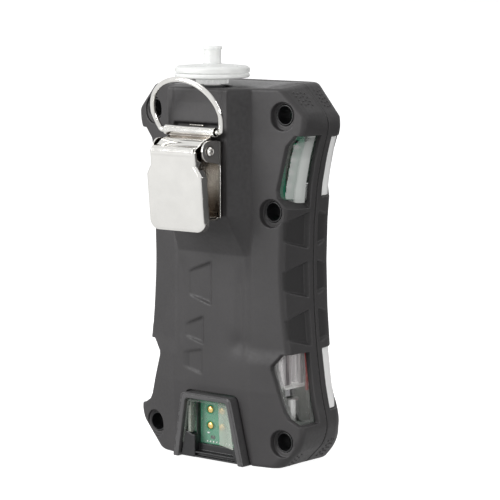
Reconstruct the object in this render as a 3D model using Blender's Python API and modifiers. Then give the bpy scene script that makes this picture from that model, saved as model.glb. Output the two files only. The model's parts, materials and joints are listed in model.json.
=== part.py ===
"""Portable gas detector with a sampling pump, belt clip and inlet filter.

Frame: metres, +Z up. The origin is the middle of the resting face (bottom).
The display faces -Y, the belt clip is on +Y, and the inlet filter is on top.
The rear and front halves meet on a plane parallel to XZ at PART_Y.
Sizes below are in millimetres and are scaled once, in the helpers.
"""
import bpy
import bmesh
from math import sin, cos, pi, radians, sqrt
from mathutils import Vector, Matrix

MM = 0.001
WELD_DISTANCE = 0.000005  # metres; closer points of a baked shape are merged

# ------------------------------------------------------------ dimensions (mm)
# body
HEIGHT = 130.0            # body height at the rear rim
CROWN = 1.2               # how far the top rises towards the front
CROWN_START_Y = 14.0      # the rise starts here and is complete at the parting plane
CROWN_START_Z = 112.0     # below this height nothing is raised
PART_Y = -2.5             # parting plane between the rear and front halves
REAR_Y = 15.8             # rear spine
FRONT_Y = -15.5           # display face
HALF_GAP = 0.45           # each half stops this far from the parting plane
REAR_SEAM, FRONT_SEAM = PART_Y + HALF_GAP, PART_Y - HALF_GAP
SIDE_BEND_Y = 2.5         # the rear side wall bends inwards here
SIDE_BEND_LEAN = 0.25     # share of the lean that is reached at the bend
CORNER_DROP = 3.2         # from the rear slope down to the start of the rounded corner
SPINE_BEND_Z = 26.5       # below this the spine falls away from REAR_Y
SPINE_FALL = 1.5          # how far it has fallen at the bottom
SPINE_HALF = 15.0         # half width of the flat on the spine
SLOPE_STEP = 0.8          # the side slopes start this far below the spine
PAD_Y = 22.9              # face of the clip pad
PAD_HALF, PAD_FOOT_HALF = 13.4, 17.4
PAD_FOOT_Z, PAD_FACE_Z = 73.0, 87.0

# inner surfaces, measured inwards from the outside of the rubber
TPE = 2.0                 # rubber thickness
CASE_OFF = 2.3            # outside of the clear case
CASE_IN = 4.1             # inside of the clear case
PAD_RISE = 1.2            # the pad ramp moves up by this share of the offset
REAR_INNER_BASE = -8.0    # inner volumes run past the parting plane to here
FRONT_INNER_BASE = 4.0

# cutters run on to these coordinates, clear of the body
REACH_Y = 30.0
REACH_Z = 140.0

# case screws: (x, z) on the right side
SCREW_LEVELS = {"upper": (29.1, 121.3), "middle": (24.8, 88.4), "lower": (29.0, 9.6)}
SCREWS = {level + "_" + hand: (side * x, z)
          for hand, side in (("right", 1), ("left", -1))
          for level, (x, z) in SCREW_LEVELS.items()}
WELL_SHOULDER_Y = 2.0
CLEARANCE_R = 1.9

# belt clip and D-ring
PIN_Y, PIN_Z = 29.5, 109.3          # clip pin axis
PIN_HOLE_R = 1.3
BAR_Y, BAR_Z = 26.0, 115.5          # D-ring bar axis
RING_TILT = 20.0                    # D-ring lean from upright, degrees
CLIP_SCREW_Z = 97.0
SHEET = 0.8                         # sheet thickness of the lever

# top: inlet plate, socket and filter
FILTER_Y = 14.8                     # inlet filter axis
FILTER_R = 12.8
FILTER_BORE_R = 11.5                # inside of both filter rims
SOCKET_R = 7.0
SOCKET_GAP = 0.35
TOP_HALF_X, TOP_REAR_Y, TOP_FRONT_Y = 21.5, 11.7, -9.5    # opening for the plate
TOP_OPENING_Z = 126.5
PLATE_GAP = 0.3

# front face
DISPLAY_X0, DISPLAY_X1, DISPLAY_Z0, DISPLAY_Z1 = -21.0, 21.0, 58.0, 96.0
DISPLAY_GAP = 0.4
BUTTON_PITCH, BUTTON_Z, BUTTON_R = 13.5, 45.0, 4.6
BUTTON_BASE_Y = -9.6
BUTTONS = {"up_button": -BUTTON_PITCH, "power_button": 0.0, "down_button": BUTTON_PITCH}
SOUND_Z, SOUND_PITCH = 26.0, 3.2    # middle and pitch of the sounder slots
SOUND_HALF_X, SOUND_HALF_Z = 6.5, 0.6
EXHAUST_Z = 107.0                   # exhaust on the front face, above the display

# docking opening in the rear face
DOCK_TOP = 23.9
DOCK_HALF_TOP, DOCK_HALF_BOTTOM = 11.9, 16.9

# inside
SENSOR_X, SENSOR_UPPER_Z, SENSOR_LOWER_Z = 10.6, 106.6, 86.6
SENSORS = [("sensor_oxygen", -SENSOR_X, SENSOR_UPPER_Z),
           ("sensor_carbon_monoxide", SENSOR_X, SENSOR_UPPER_Z),
           ("sensor_hydrogen_sulfide", -SENSOR_X, SENSOR_LOWER_Z),
           ("sensor_combustible", SENSOR_X, SENSOR_LOWER_Z)]
PUMP_Y, PUMP_PORT_X = 16.1, -3.6
VIBRATOR_X, VIBRATOR_Y = -24.4, 2.6

# ------------------------------------------------------------- tables (mm)
# (z, half width of the parting outline)
OUTLINE = [(0, 27.2), (8.6, 35.5), (11.4, 36.6), (14.5, 37.0), (17.5, 36.6), (21, 35.6),
           (28, 34.1), (40, 32.4), (54, 31.15), (70, 30.6), (84, 31.0),
           (97, 32.3), (106, 34.1), (111.5, 35.6), (114.5, 36.6),
           (117, 37.0), (119.5, 36.6), (121.8, 35.1), (130, 26.9)]
# (z, how far the rear corner edge stands inside the parting outline)
LEAN = [(0, -0.4), (12, -0.4), (15, -0.3), (21, 0.9), (40, 0.6), (52, 1.0), (62, 1.3),
        (84, 1.3), (100, 1.0), (110, 1.0), (116, -0.3), (121.8, -1.4), (130, -2.3)]
# heights of the sections through the inner surfaces
INNER_ROWS = (8.6, 12.5, 17.0, 28, 54, 84, 106, 114.5, 119.0, 122.0)

# windows on the right side, upper then lower; outlines are (x, z)
WINDOW_SPLIT_X = 40.0               # outline points beyond this lie outside the body
# (y where the window starts, y where its pane starts, outline)
REAR_WINDOWS = [
    (0.4, 0.8, [(45, 89.4), (45, 114.4), (33.6, 114.4), (30.3, 110.8), (26.9, 95.8),
                (27.3, 93.0), (30.6, 89.4)]),
    (1.5, 1.85, [(45, 39.9), (45, 15.6), (35.4, 15.6), (31.6, 17.8), (30.3, 19.8),
                 (25.4, 34.4), (25.4, 35.9), (28.9, 39.9)])]
FRONT_WINDOWS = [
    [(45, 92.6), (45, 113.6), (32.6, 113.6), (30.4, 108.5), (27.4, 96.4), (28.6, 92.6)],
    [(45, 40.4), (45, 19.2), (33.8, 19.2), (31.0, 22.4), (26.4, 36.2), (28.6, 40.4)]]
FRONT_WINDOW_Y = -5.6
PANE_GAP = 0.32                     # between a pane and the edge of its window
PANE_EXTRA_OFF = 0.15
PANE_SHIFT_Y = 1.35                 # panes stand this far out of the case

# (lower z, upper z) of the grip dents in the rear half
GRIP_ROWS = ((75.2, 88.2), (58.4, 71.2), (41.8, 54.6))


# ----------------------------------------------------------------- collections
def collection(name):
    col = bpy.data.collections.get(name)
    if col is None:
        col = bpy.data.collections.new(name)
    if col.name not in bpy.context.scene.collection.children:
        bpy.context.scene.collection.children.link(col)
    return col


for old_object in list(bpy.data.objects):
    bpy.data.objects.remove(old_object, do_unlink=True)
main = collection("portable_gas_detector")
cutters = collection("cutters")


# ------------------------------------------------------------------ materials
def material(name, colour, rough, metal=0.0, alpha=1.0):
    mat = bpy.data.materials.new(name)
    mat.use_nodes = True
    shader = mat.node_tree.nodes["Principled BSDF"]
    shader.inputs["Base Color"].default_value = (*colour, 1)
    shader.inputs["Roughness"].default_value = rough
    shader.inputs["Metallic"].default_value = metal
    shader.inputs["Alpha"].default_value = alpha
    return mat


RUBBER = material("overmould_rubber", colour=(0.075, 0.072, 0.074), rough=0.5)
BLACK = material("black_plastic", colour=(0.012, 0.012, 0.013), rough=0.4)
GREY = material("grey_plastic", colour=(0.08, 0.078, 0.08), rough=0.45)
CLEAR = material("clear_polycarbonate", colour=(0.82, 0.86, 0.84), rough=0.1, alpha=0.35)
STEEL = material("polished_steel", colour=(0.82, 0.81, 0.79), rough=0.12, metal=1.0)
WHITE = material("translucent_white", colour=(0.86, 0.88, 0.87), rough=0.3)
BOARD = material("circuit_board", colour=(0.05, 0.26, 0.15), rough=0.4)
GOLD = material("gold_plate", colour=(0.9, 0.68, 0.27), rough=0.22, metal=1.0)
WRAP = material("battery_wrap", colour=(0.5, 0.5, 0.5), rough=0.35)
RED = material("red_wire", colour=(0.55, 0.03, 0.03), rough=0.4)
SILVER = material("sensor_can", colour=(0.6, 0.6, 0.6), rough=0.3, metal=0.8)
GLASS = material("display_glass", colour=(0.02, 0.025, 0.03), rough=0.08)
LCD = material("lcd_face", colour=(0.36, 0.42, 0.34), rough=0.3)
SILICONE = material("silicone_tube", colour=(0.7, 0.7, 0.68), rough=0.4)
SEAL = material("black_seal", colour=(0.01, 0.01, 0.01), rough=0.6)


# ---------------------------------------------------------------- mesh helpers
# A shape made without a material is a tool: it is used up by a Boolean.
def from_bmesh(name, bm, mat=None):
    bmesh.ops.recalc_face_normals(bm, faces=bm.faces)
    mesh = bpy.data.meshes.new(name)
    bm.to_mesh(mesh)
    bm.free()
    ob = bpy.data.objects.new(name, mesh)
    if mat is None:
        cutters.objects.link(ob)
        ob.hide_render = True
        ob.display_type = "WIRE"
    else:
        main.objects.link(ob)
        mesh.materials.append(mat)
    return ob


def box(name, lo, hi, mat=None, bevel=0.0):
    """A box between two corners, with its edges cut back if a bevel is given."""
    bm = bmesh.new()
    bmesh.ops.create_cube(bm, size=1.0)
    for v in bm.verts:
        v.co = Vector([(lo[i] if v.co[i] < 0 else hi[i]) * MM for i in range(3)])
    if bevel:
        bmesh.ops.bevel(bm, geom=bm.edges[:], offset=bevel * MM, segments=1, profile=0.5,
                        affect="EDGES", clamp_overlap=True)
    return from_bmesh(name, bm, mat)


# turn a shape made along Z onto each axis
AXES = {"X": Matrix.Rotation(pi / 2, 4, "Y"), "Y": Matrix.Rotation(-pi / 2, 4, "X"),
        "Z": Matrix.Identity(4)}


def cylinder(name, radius, start, end, centre, axis, sides):
    """A cylinder tool between two coordinates on its axis; centre gives the other two."""
    bm = bmesh.new()
    bmesh.ops.create_cone(bm, cap_ends=True, segments=sides, radius1=radius * MM,
                          radius2=radius * MM, depth=(end - start) * MM)
    middle = list(centre)
    middle.insert("XYZ".index(axis), (start + end) / 2)
    bmesh.ops.transform(bm, matrix=AXES[axis], verts=bm.verts)
    bmesh.ops.translate(bm, vec=Vector(middle) * MM, verts=bm.verts)
    return from_bmesh(name, bm)


def prism(name, pts, plane, start, end, mat=None):
    """A flat outline in a plane (XZ, XY or YZ), extruded along the third axis."""
    bm = bmesh.new()
    place = {"XZ": lambda p, t: (p[0], t, p[1]), "XY": lambda p, t: (p[0], p[1], t),
             "YZ": lambda p, t: (t, p[0], p[1])}[plane]
    face = bm.faces.new([bm.verts.new(Vector(place(p, start)) * MM) for p in pts])
    out = bmesh.ops.extrude_face_region(bm, geom=[face])
    moved = [g for g in out["geom"] if isinstance(g, bmesh.types.BMVert)]
    step = Vector(place((0, 0), end)) - Vector(place((0, 0), start))
    bmesh.ops.translate(bm, vec=step * MM, verts=moved)
    return from_bmesh(name, bm, mat)


def loft(name, rings, mat=None, strips=False):
    """A skin over closed rings of equal point count, capped at both ends.

    With strips, each ring is a half and its mirror image, and a cap is laid as flat strips
    between mirrored points, so that a crowned cap stays exact."""
    bm = bmesh.new()
    rows = [[bm.verts.new(Vector(p) * MM) for p in ring] for ring in rings]
    n = len(rows[0])
    for low, high in zip(rows, rows[1:]):
        for i in range(n):
            j = (i + 1) % n
            bm.faces.new((low[i], low[j], high[j], high[i]))
    for row in (rows[0], rows[-1]):
        if not strips:
            bm.faces.new(row)
            continue
        for i in range(n // 2 - 1):
            bm.faces.new((row[i], row[i + 1], row[n - 2 - i], row[n - 1 - i]))
    return from_bmesh(name, bm, mat)


def hull(name, pts):
    """The convex hull of some points, as a tool."""
    bm = bmesh.new()
    for p in pts:
        bm.verts.new(Vector(p) * MM)
    bmesh.ops.convex_hull(bm, input=bm.verts)
    loose = [v for v in bm.verts if not v.link_faces]
    bmesh.ops.delete(bm, geom=loose, context="VERTS")
    return from_bmesh(name, bm)


def evaluated_mesh(ob):
    dg = bpy.context.evaluated_depsgraph_get()
    dg.update()
    return bpy.data.meshes.new_from_object(ob.evaluated_get(dg))


def bake(data):
    """A new object for this data, or an object itself, turned into a welded bmesh."""
    ob = data
    if not isinstance(data, bpy.types.Object):
        ob = bpy.data.objects.new("source", data)
    if ob.name not in main.objects:
        main.objects.link(ob)
    mesh = evaluated_mesh(ob)
    bm = bmesh.new()
    bm.from_mesh(mesh)
    bpy.data.meshes.remove(mesh)
    bpy.data.objects.remove(ob, do_unlink=True)
    bmesh.ops.remove_doubles(bm, verts=bm.verts, dist=WELD_DISTANCE)
    return bm


def turned(name, profile, centre, mat, sides, axis="Z"):
    """A profile of (radius, height) pairs turned on an axis through the centre."""
    mesh = bpy.data.meshes.new("profile")
    mesh.from_pydata([(r * MM, 0, h * MM) for r, h in profile],
                     [(i, i + 1) for i in range(len(profile) - 1)], [])
    source = bpy.data.objects.new("profile", mesh)
    screw = source.modifiers.new("turn", "SCREW")
    screw.steps = screw.render_steps = sides
    screw.use_merge_vertices = True
    screw.merge_threshold = 0.00001
    bm = bake(source)
    matrix = Matrix.Translation(Vector(centre) * MM) @ AXES[axis]
    bmesh.ops.transform(bm, matrix=matrix, verts=bm.verts)
    return from_bmesh(name, bm, mat)


def wire(name, pts, radius, mat, cyclic=False, resolution=2):
    """A round wire along a poly line."""
    curve = bpy.data.curves.new("wire_path", "CURVE")
    curve.dimensions = "3D"
    curve.bevel_depth = radius * MM
    curve.bevel_resolution = resolution
    curve.render_resolution_u = 0
    curve.use_fill_caps = not cyclic
    spline = curve.splines.new("POLY")
    spline.points.add(len(pts) - 1)
    for point, (x, y, z) in zip(spline.points, pts):
        point.co = (x * MM, y * MM, z * MM, 1)
    spline.use_cyclic_u = cyclic
    return from_bmesh(name, bake(curve), mat)


def combine(ob, tool, how):
    """One Boolean, applied at once so that the stack stays short; the tool is removed."""
    boolean = ob.modifiers.new("cut", "BOOLEAN")
    boolean.operation = how
    boolean.object = tool
    boolean.solver = "EXACT"
    mesh = evaluated_mesh(ob)
    mesh.name = ob.name
    ob.modifiers.clear()
    old = ob.data
    ob.data = mesh
    bpy.data.meshes.remove(old)
    bpy.data.objects.remove(tool, do_unlink=True)


def cut(ob, *tools):
    for tool in tools:
        combine(ob, tool, "DIFFERENCE")


def join(ob, tool):
    combine(ob, tool, "UNION")


def tidy(ob):
    """Merge coincident points and drop slivers that the cuts leave behind."""
    bm = bmesh.new()
    bm.from_mesh(ob.data)
    bmesh.ops.remove_doubles(bm, verts=bm.verts, dist=0.000002)
    bmesh.ops.dissolve_degenerate(bm, edges=bm.edges, dist=0.000001)
    bmesh.ops.triangulate(bm, faces=bm.faces)
    bm.to_mesh(ob.data)
    bm.free()


def origin_at(ob, point):
    """Move an object's origin to a joint axis without moving its shape."""
    place = Vector(point) * MM
    ob.data.transform(Matrix.Translation(-place))
    ob.location = place


# ------------------------------------------------------------- outline helpers
def table(z, rows):
    """Linear interpolation in a list of (z, value) rows, held flat past the ends."""
    if z <= rows[0][0]:
        return rows[0][1]
    for (za, va), (zb, vb) in zip(rows, rows[1:]):
        if z <= zb:
            return va + (vb - va) * (z - za) / (zb - za)
    return rows[-1][1]


def arc(cx, cy, radius, start, end, n):
    """Points on an arc of n steps between two angles in degrees."""
    angles = [radians(start + (end - start) * i / n) for i in range(n + 1)]
    return [(cx + radius * cos(a), cy + radius * sin(a)) for a in angles]


def mirrored(half):
    """A closed outline from its right half."""
    return half + [(-x, other) for x, other in reversed(half)]


def both_sides(inner, outer):
    """The same x span on the right and on the left."""
    return (inner, outer), (-outer, -inner)


# ------------------------------------------------------------- body sections
INNER_OUTLINE = [(z, table(z, OUTLINE)) for z in (0, *INNER_ROWS, HEIGHT)]
INNER_LEAN = [(z, table(z, LEAN)) for z in (0, *INNER_ROWS, HEIGHT)]


def half_width(z, off=0.0):
    """Half width of the parting outline, moved inwards by off; corners stay at 45 degrees."""
    return min(table(z, INNER_OUTLINE if off else OUTLINE) - off,
               z + OUTLINE[0][1] - off * sqrt(2),
               HEIGHT + OUTLINE[-1][1] - off * sqrt(2) - z)


def lean(z, off=0.0):
    return table(z, INNER_LEAN if off else LEAN)


def spine(z):
    return REAR_Y - SPINE_FALL * max(0.0, (SPINE_BEND_Z - z) / SPINE_BEND_Z)


def slope_y(x, z, off=0.0):
    """Rear surface beside the spine, falling 1 in 5 towards the sides.

    Its step below the spine fades out between z = 30 and z = 20."""
    step = SLOPE_STEP if z > 30 else SLOPE_STEP * max(0.0, z - 20) / 10
    return spine(z) - step - 0.2 * (x - PAD_FOOT_HALF) - off


def section_start(width, base, seam, past_seam):
    """First points of a section; one that runs past the seam has a point there too."""
    return [(width, base), (width, seam)] if past_seam else [(width, base)]


def rear_half(z, off, base):
    """Right half of a rear section as (x, y), from the base to the spine."""
    width = half_width(z, off)
    inset = lean(z, off)
    edge = width - inset
    edge_y = slope_y(edge + off, z, off)
    ramp = (z - PAD_FOOT_Z - PAD_RISE * off) / (PAD_FACE_Z - PAD_FOOT_Z)
    ramp = min(1.0, max(0.0, ramp))
    crest = (SPINE_HALF + (PAD_HALF - 0.8 * off - SPINE_HALF) * ramp,
             (spine(z) - off) + (PAD_Y - REAR_Y) * ramp)
    foot_x = PAD_FOOT_HALF - 0.6 * off
    return section_start(width, base, REAR_SEAM, base <= PART_Y - 1) + [
        (width - SIDE_BEND_LEAN * inset, SIDE_BEND_Y),
        (edge + 0.3, edge_y - CORNER_DROP),
        (edge - 0.6, edge_y - 0.75),
        (edge - 3.4, slope_y(edge - 3.4 + off, z, off)),
        (foot_x, slope_y(foot_x, z, off)),
        crest]


def front_half(z, off, base):
    """Right half of a front section as (x, y), from the base to the display face."""
    width = half_width(z, off)
    return section_start(width, base, FRONT_SEAM, base >= PART_Y + 1) + [
        (width - 0.8, -8.0),
        (width - 2.0, -11.2 + 0.5 * off),
        (width - 3.4, -13.1 + off),
        (width - 6.0, -14.5 + off),
        (width - 10.5, FRONT_Y + 0.35 + off),
        (10.0, FRONT_Y + off)]


def crown(x, y, z):
    """The top rises from the rear rim towards the parting plane."""
    along = min(1.0, max(0.0, (CROWN_START_Y - y) / (CROWN_START_Y - PART_Y)))
    up = min(1.0, max(0.0, (z - CROWN_START_Z) / (HEIGHT - CROWN_START_Z)))
    return (x, y, z + CROWN * along * up)


def body(name, half, off, base, stations=(), mat=None):
    """A solid half of the body, with its surface moved inwards by off."""
    rows = {z for z, _ in OUTLINE} if off == 0 else set(INNER_ROWS)
    lo, hi = off, HEIGHT - off
    heights = sorted(z for z in rows | set(stations) | {lo, hi} if lo <= z <= hi)
    rings = [[crown(x, y, z) for x, y in mirrored(half(z, off, base))] for z in heights]
    return loft(name, rings, mat, strips=True)


def rear_stations(off):
    """Extra section heights at the bends of the spine and the pad."""
    return [SPINE_BEND_Z, PAD_FOOT_Z + PAD_RISE * off, PAD_FACE_Z + PAD_RISE * off]


def rear_body(name, off, base, mat=None):
    return body(name, rear_half, off, base, rear_stations(off), mat)


def on_side(side, pts):
    return [(side * x, z) for x, z in pts]


def dock_outline(top, half_top, half_bottom, radius=2.2, bottom=-3.0):
    """Trapezoid (x, z) with rounded upper corners; half_bottom is its half width at z = 0."""
    k = (half_bottom - half_top) / top
    return mirrored([(half_bottom - k * bottom, bottom),
                     (half_top + k * radius, top - radius),
                     (half_top - radius * 0.05 + k * radius * 0.3, top - radius * 0.35),
                     (half_top - radius * 0.45, top - radius * 0.06),
                     (half_top - radius, top)])


# ----------------------------------------------------------------------- dents
def rear_wall(y, z):
    """Half width of the rear half's side wall at depth y."""
    width, inset = half_width(z), lean(z)
    if y <= SIDE_BEND_Y:
        return width - SIDE_BEND_LEAN * inset * (y - PART_Y) / (SIDE_BEND_Y - PART_Y)
    corner_y = slope_y(width - inset, z) - CORNER_DROP
    rest = (1 - SIDE_BEND_LEAN) * inset - 0.3
    return width - SIDE_BEND_LEAN * inset - rest * (y - SIDE_BEND_Y) / (corner_y - SIDE_BEND_Y)


def front_wall(y, z):
    """Half width of the front half's side wall at depth y."""
    return half_width(z) - 0.25 * abs(y - PART_Y) / 3.0


def side_dent(side, wall, y_seam, y_far, z_lo, z_hi, taper, depth):
    """A grip dent: it narrows away from the seam and closes towards a smaller floor."""
    pts = []
    away = 1 if y_far > y_seam else -1
    for grow, inset in ((0.5, -2.5), (0.0, depth)):
        for y, narrow in ((y_seam - away * grow, 0.0), (y_far + away * grow, taper)):
            for z in (z_lo + narrow - grow, z_hi - narrow + grow):
                pts.append((side * (wall(y, z) - inset), y, z))
    return hull("grip_dent", pts)


def spine_dent(x_edge, x_valley, x_far, z_edge, z_far, depth):
    """A ramp that deepens to a valley and ends in a steep wall at x_edge."""
    rim = [(x_edge, z) for z in z_edge] + [(x_far, z) for z in z_far]
    x_ramp = x_far * 0.82 + x_valley * 0.18
    pts = [(x, REAR_Y, z) for x, z in rim]
    pts += [(x_valley, REAR_Y - depth, z_edge[0] + 1.0),
            (x_valley, REAR_Y - depth, z_edge[1] - 1.2),
            (x_ramp, REAR_Y - depth * 0.55, z_far[0] + 0.9),
            (x_ramp, REAR_Y - depth * 0.55, z_far[1] - 0.9)]
    # the rim again, above the surface and spread outwards
    rise, spread = 1.5, 0.12
    mid_x, mid_z = (x_edge + x_far) / 2, (z_edge[0] + z_edge[1]) / 2
    pts += [(x + (x - mid_x) * spread, REAR_Y + rise, z + (z - mid_z) * spread)
            for x, z in rim]
    return hull("spine_dent", pts)


# ---------------------------------------------------------------- outer shells
def socket_opening(z_from):
    return cylinder("socket_opening", SOCKET_R + SOCKET_GAP, z_from, REACH_Z,
                    (0, FILTER_Y), "Z", 32)


def dock_opening(y_from):
    return prism("dock_opening", dock_outline(DOCK_TOP, DOCK_HALF_TOP, DOCK_HALF_BOTTOM),
                 "XZ", y_from, REACH_Y)


def cut_sound_slots(ob):
    for i in (-1, 0, 1):
        z = SOUND_Z + i * SOUND_PITCH
        cut(ob, box("sound_slot", (-SOUND_HALF_X, -REACH_Y, z - SOUND_HALF_Z),
                    (SOUND_HALF_X, -8, z + SOUND_HALF_Z)))


def build_rear_overmould():
    rear = rear_body("rear_overmould", 0.0, REAR_SEAM, RUBBER)
    cut(rear, rear_body("rear_hollow", TPE, REAR_INNER_BASE))
    for side in (1, -1):
        for start_y, _, pts in REAR_WINDOWS:
            cut(rear, prism("window", on_side(side, pts), "XZ", start_y, REACH_Y))
    for place in SCREWS.values():
        cut(rear, cylinder("screw_recess", 4.3, 9.3, REACH_Y, place, "Y", 18))
    for side in (1, -1):
        for z_lo, z_hi in GRIP_ROWS:
            cut(rear, side_dent(side, rear_wall, -0.2, 8.4, z_lo, z_hi, taper=2.4, depth=0.9))
    cut(rear, spine_dent(x_edge=-0.1, x_valley=2.5, x_far=9.7,
                         z_edge=(54.4, 70.2), z_far=(55.8, 66.0), depth=1.2))
    cut(rear, spine_dent(x_edge=3.3, x_valley=5.0, x_far=11.1,
                         z_edge=(40.4, 50.8), z_far=(41.6, 47.2), depth=1.0))

    # channel and slot for the clip's tongue, and the scoop behind the ring
    cut(rear, box("tongue_channel", (-3.7, 21.9, 103.0), (3.7, REACH_Y, 118.0)))
    cut(rear, box("tongue_slot", (-10.4, 21.2, 115.8), (10.4, REACH_Y, 118.0)))
    scoop = [(PAD_Y + 1, 120.9), (PAD_Y, 120.9), (PAD_Y + 1, 133), (PAD_Y - 1.3, 130.5),
             (PAD_Y - 1.3, 133)]
    cut(rear, hull("ring_scoop", [(side * 11.6, y, z) for side in (1, -1) for y, z in scoop]))

    # openings for the inlet plate, the socket, the dock and the clip screw
    cut(rear, box("plate_opening", (-TOP_HALF_X, -8, TOP_OPENING_Z),
                  (TOP_HALF_X, TOP_REAR_Y, REACH_Z)))
    cut(rear, socket_opening(TOP_OPENING_Z))
    cut(rear, dock_opening(5))
    cut(rear, cylinder("clip_screw_hole", 1.8, 21.5, REACH_Y, (0, CLIP_SCREW_Z), "Y", 16))
    tidy(rear)


def build_front_overmould():
    front = body("front_overmould", front_half, 0.0, FRONT_SEAM, mat=RUBBER)
    cut(front, body("front_hollow", front_half, TPE, FRONT_INNER_BASE))
    for side in (1, -1):
        for pts in FRONT_WINDOWS:
            cut(front, prism("window", on_side(side, pts), "XZ", -REACH_Y, FRONT_WINDOW_Y))
    for side in (1, -1):
        for z_lo, z_hi in GRIP_ROWS:
            cut(front, side_dent(side, front_wall, -4.8, -8.8, z_lo + 0.6, z_hi - 0.2,
                                 taper=1.2, depth=0.8))
    cut(front, box("plate_opening", (-TOP_HALF_X, TOP_FRONT_Y, TOP_OPENING_Z),
                   (TOP_HALF_X, 4, REACH_Z)))
    cut(front, box("display_opening", (DISPLAY_X0, -REACH_Y, DISPLAY_Z0),
                   (DISPLAY_X1, -12, DISPLAY_Z1)))
    for x in BUTTONS.values():
        cut(front, cylinder("button_opening", BUTTON_R + 0.5, -REACH_Y, -12,
                            (x, BUTTON_Z), "Y", 24))
    cut_sound_slots(front)
    cut(front, cylinder("exhaust_opening", 2.6, -REACH_Y, -12, (0, EXHAUST_Z), "Y", 20))
    tidy(front)


def window_pane(side, foot_y, pts):
    """A clear pane for a rear window, nearer the rear face than the rest of the case."""
    pane = body("pane", rear_half, CASE_OFF + PANE_EXTRA_OFF, foot_y,
                rear_stations(CASE_OFF))
    pane.data.transform(Matrix.Translation((0, PANE_SHIFT_Y * MM, 0)))
    mid_z = sum(z for _, z in pts) / len(pts)
    inset = [(x + (-PANE_GAP if x > WINDOW_SPLIT_X else PANE_GAP),
              z + (PANE_GAP if z < mid_z else -PANE_GAP)) for x, z in pts]
    outline = prism("pane_outline", on_side(side, inset), "XZ", foot_y, REACH_Y)
    combine(pane, outline, "INTERSECT")
    return pane


def build_rear_case():
    case = rear_body("rear_case", CASE_OFF, REAR_SEAM, CLEAR)
    cavity = rear_body("rear_cavity", CASE_IN, REAR_INNER_BASE)
    for place in SCREWS.values():
        cut(cavity, cylinder("boss", 4.3, -10, REACH_Y, place, "Y", 14))
    cut(case, cavity)
    for side in (1, -1):
        for _, foot_y, pts in REAR_WINDOWS:
            join(case, window_pane(side, foot_y, pts))
    # each screw has a well down to a shoulder, then a clearance hole
    for place in SCREWS.values():
        cut(case, cylinder("well", 3.35, WELL_SHOULDER_Y, REACH_Y, place, "Y", 14),
            cylinder("clearance", CLEARANCE_R, -8, WELL_SHOULDER_Y + 1, place, "Y", 10))
    cut(case, dock_opening(9.0))
    cut(case, cylinder("inlet_hole", 4.3, 118, REACH_Z, (0, FILTER_Y), "Z", 24))
    tidy(case)


def build_front_case():
    case = body("front_case", front_half, CASE_OFF, FRONT_SEAM, mat=CLEAR)
    cavity = body("front_cavity", front_half, CASE_IN, FRONT_INNER_BASE)
    for place in SCREWS.values():
        cut(cavity, cylinder("boss", 3.6, -REACH_Y, 10, place, "Y", 12))
    cut(case, cavity)
    for place in SCREWS.values():
        cut(case, cylinder("pilot_hole", CLEARANCE_R, -8.6, 6, place, "Y", 10))
    for x in BUTTONS.values():
        cut(case, cylinder("button_hole", BUTTON_R - 0.6, -REACH_Y, -8,
                           (x, BUTTON_Z), "Y", 20))
    cut_sound_slots(case)
    cut(case, cylinder("exhaust_hole", 1.6, -REACH_Y, -8, (0, EXHAUST_Z), "Y", 16))
    tidy(case)


def outline_ring(off, y):
    """The parting outline, moved inwards by off, at depth y."""
    heights = [off] + [z for z, _ in OUTLINE if off < z < HEIGHT - off] + [HEIGHT - off]
    half = [(half_width(z, off), z) for z in heights]
    return [crown(x, y, z) for x, z in mirrored(half)]


def build_gasket():
    """Seal on the parting plane, interrupted at the inlet plate."""
    half_thick, outer_off, inner_off = 0.15, 0.35, 2.2
    gasket = loft("case_gasket", [outline_ring(outer_off, PART_Y - half_thick),
                                  outline_ring(outer_off, PART_Y + half_thick)], SEAL)
    cut(gasket, loft("gasket_hole", [outline_ring(inner_off, PART_Y - 2),
                                     outline_ring(inner_off, PART_Y + 2)]))
    cut(gasket, box("gasket_break", (-TOP_HALF_X - PLATE_GAP, -8, 120),
                    (TOP_HALF_X + PLATE_GAP, 4, REACH_Z)))
    tidy(gasket)


def build_case_screws():
    profile = [(0.0, 4.3), (2.0, 4.2), (2.7, 3.6), (2.75, 2.3), (1.5, 2.3), (1.5, -7.6),
               (0.0, -8.0)]
    for name, (x, z) in SCREWS.items():
        turned("case_screw_" + name, profile, (x, 0, z), STEEL, 12, "Y")


# ------------------------------------------------- inlet plate, socket, filter
def build_inlet_plate():
    half = [(TOP_HALF_X - PLATE_GAP, y)
            for y in (TOP_FRONT_Y + PLATE_GAP, PART_Y, TOP_REAR_Y - PLATE_GAP)]
    plate = loft("inlet_plate", [[crown(x, y, z) for x, y in mirrored(half)]
                                 for z in (128.1, HEIGHT)], GREY, strips=True)
    cut(plate, socket_opening(120))
    tidy(plate)


def build_inlet_socket():
    profile = [(3.3, 124.4), (3.3, 130.7), (6.6, 130.7), (SOCKET_R, 130.3), (SOCKET_R, 128.5),
               (3.95, 128.5), (3.95, 120.0), (1.6, 120.0), (1.6, 124.4), (3.3, 124.4)]
    socket = turned("inlet_socket", profile, (0, FILTER_Y, 0), BLACK, 22)
    for x in (6.0, -6.0):
        cut(socket, box("socket_notch", (x - 0.9, FILTER_Y - 1.2, 129.6),
                        (x + 0.9, FILTER_Y + 1.2, 135)))
    tidy(socket)


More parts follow.
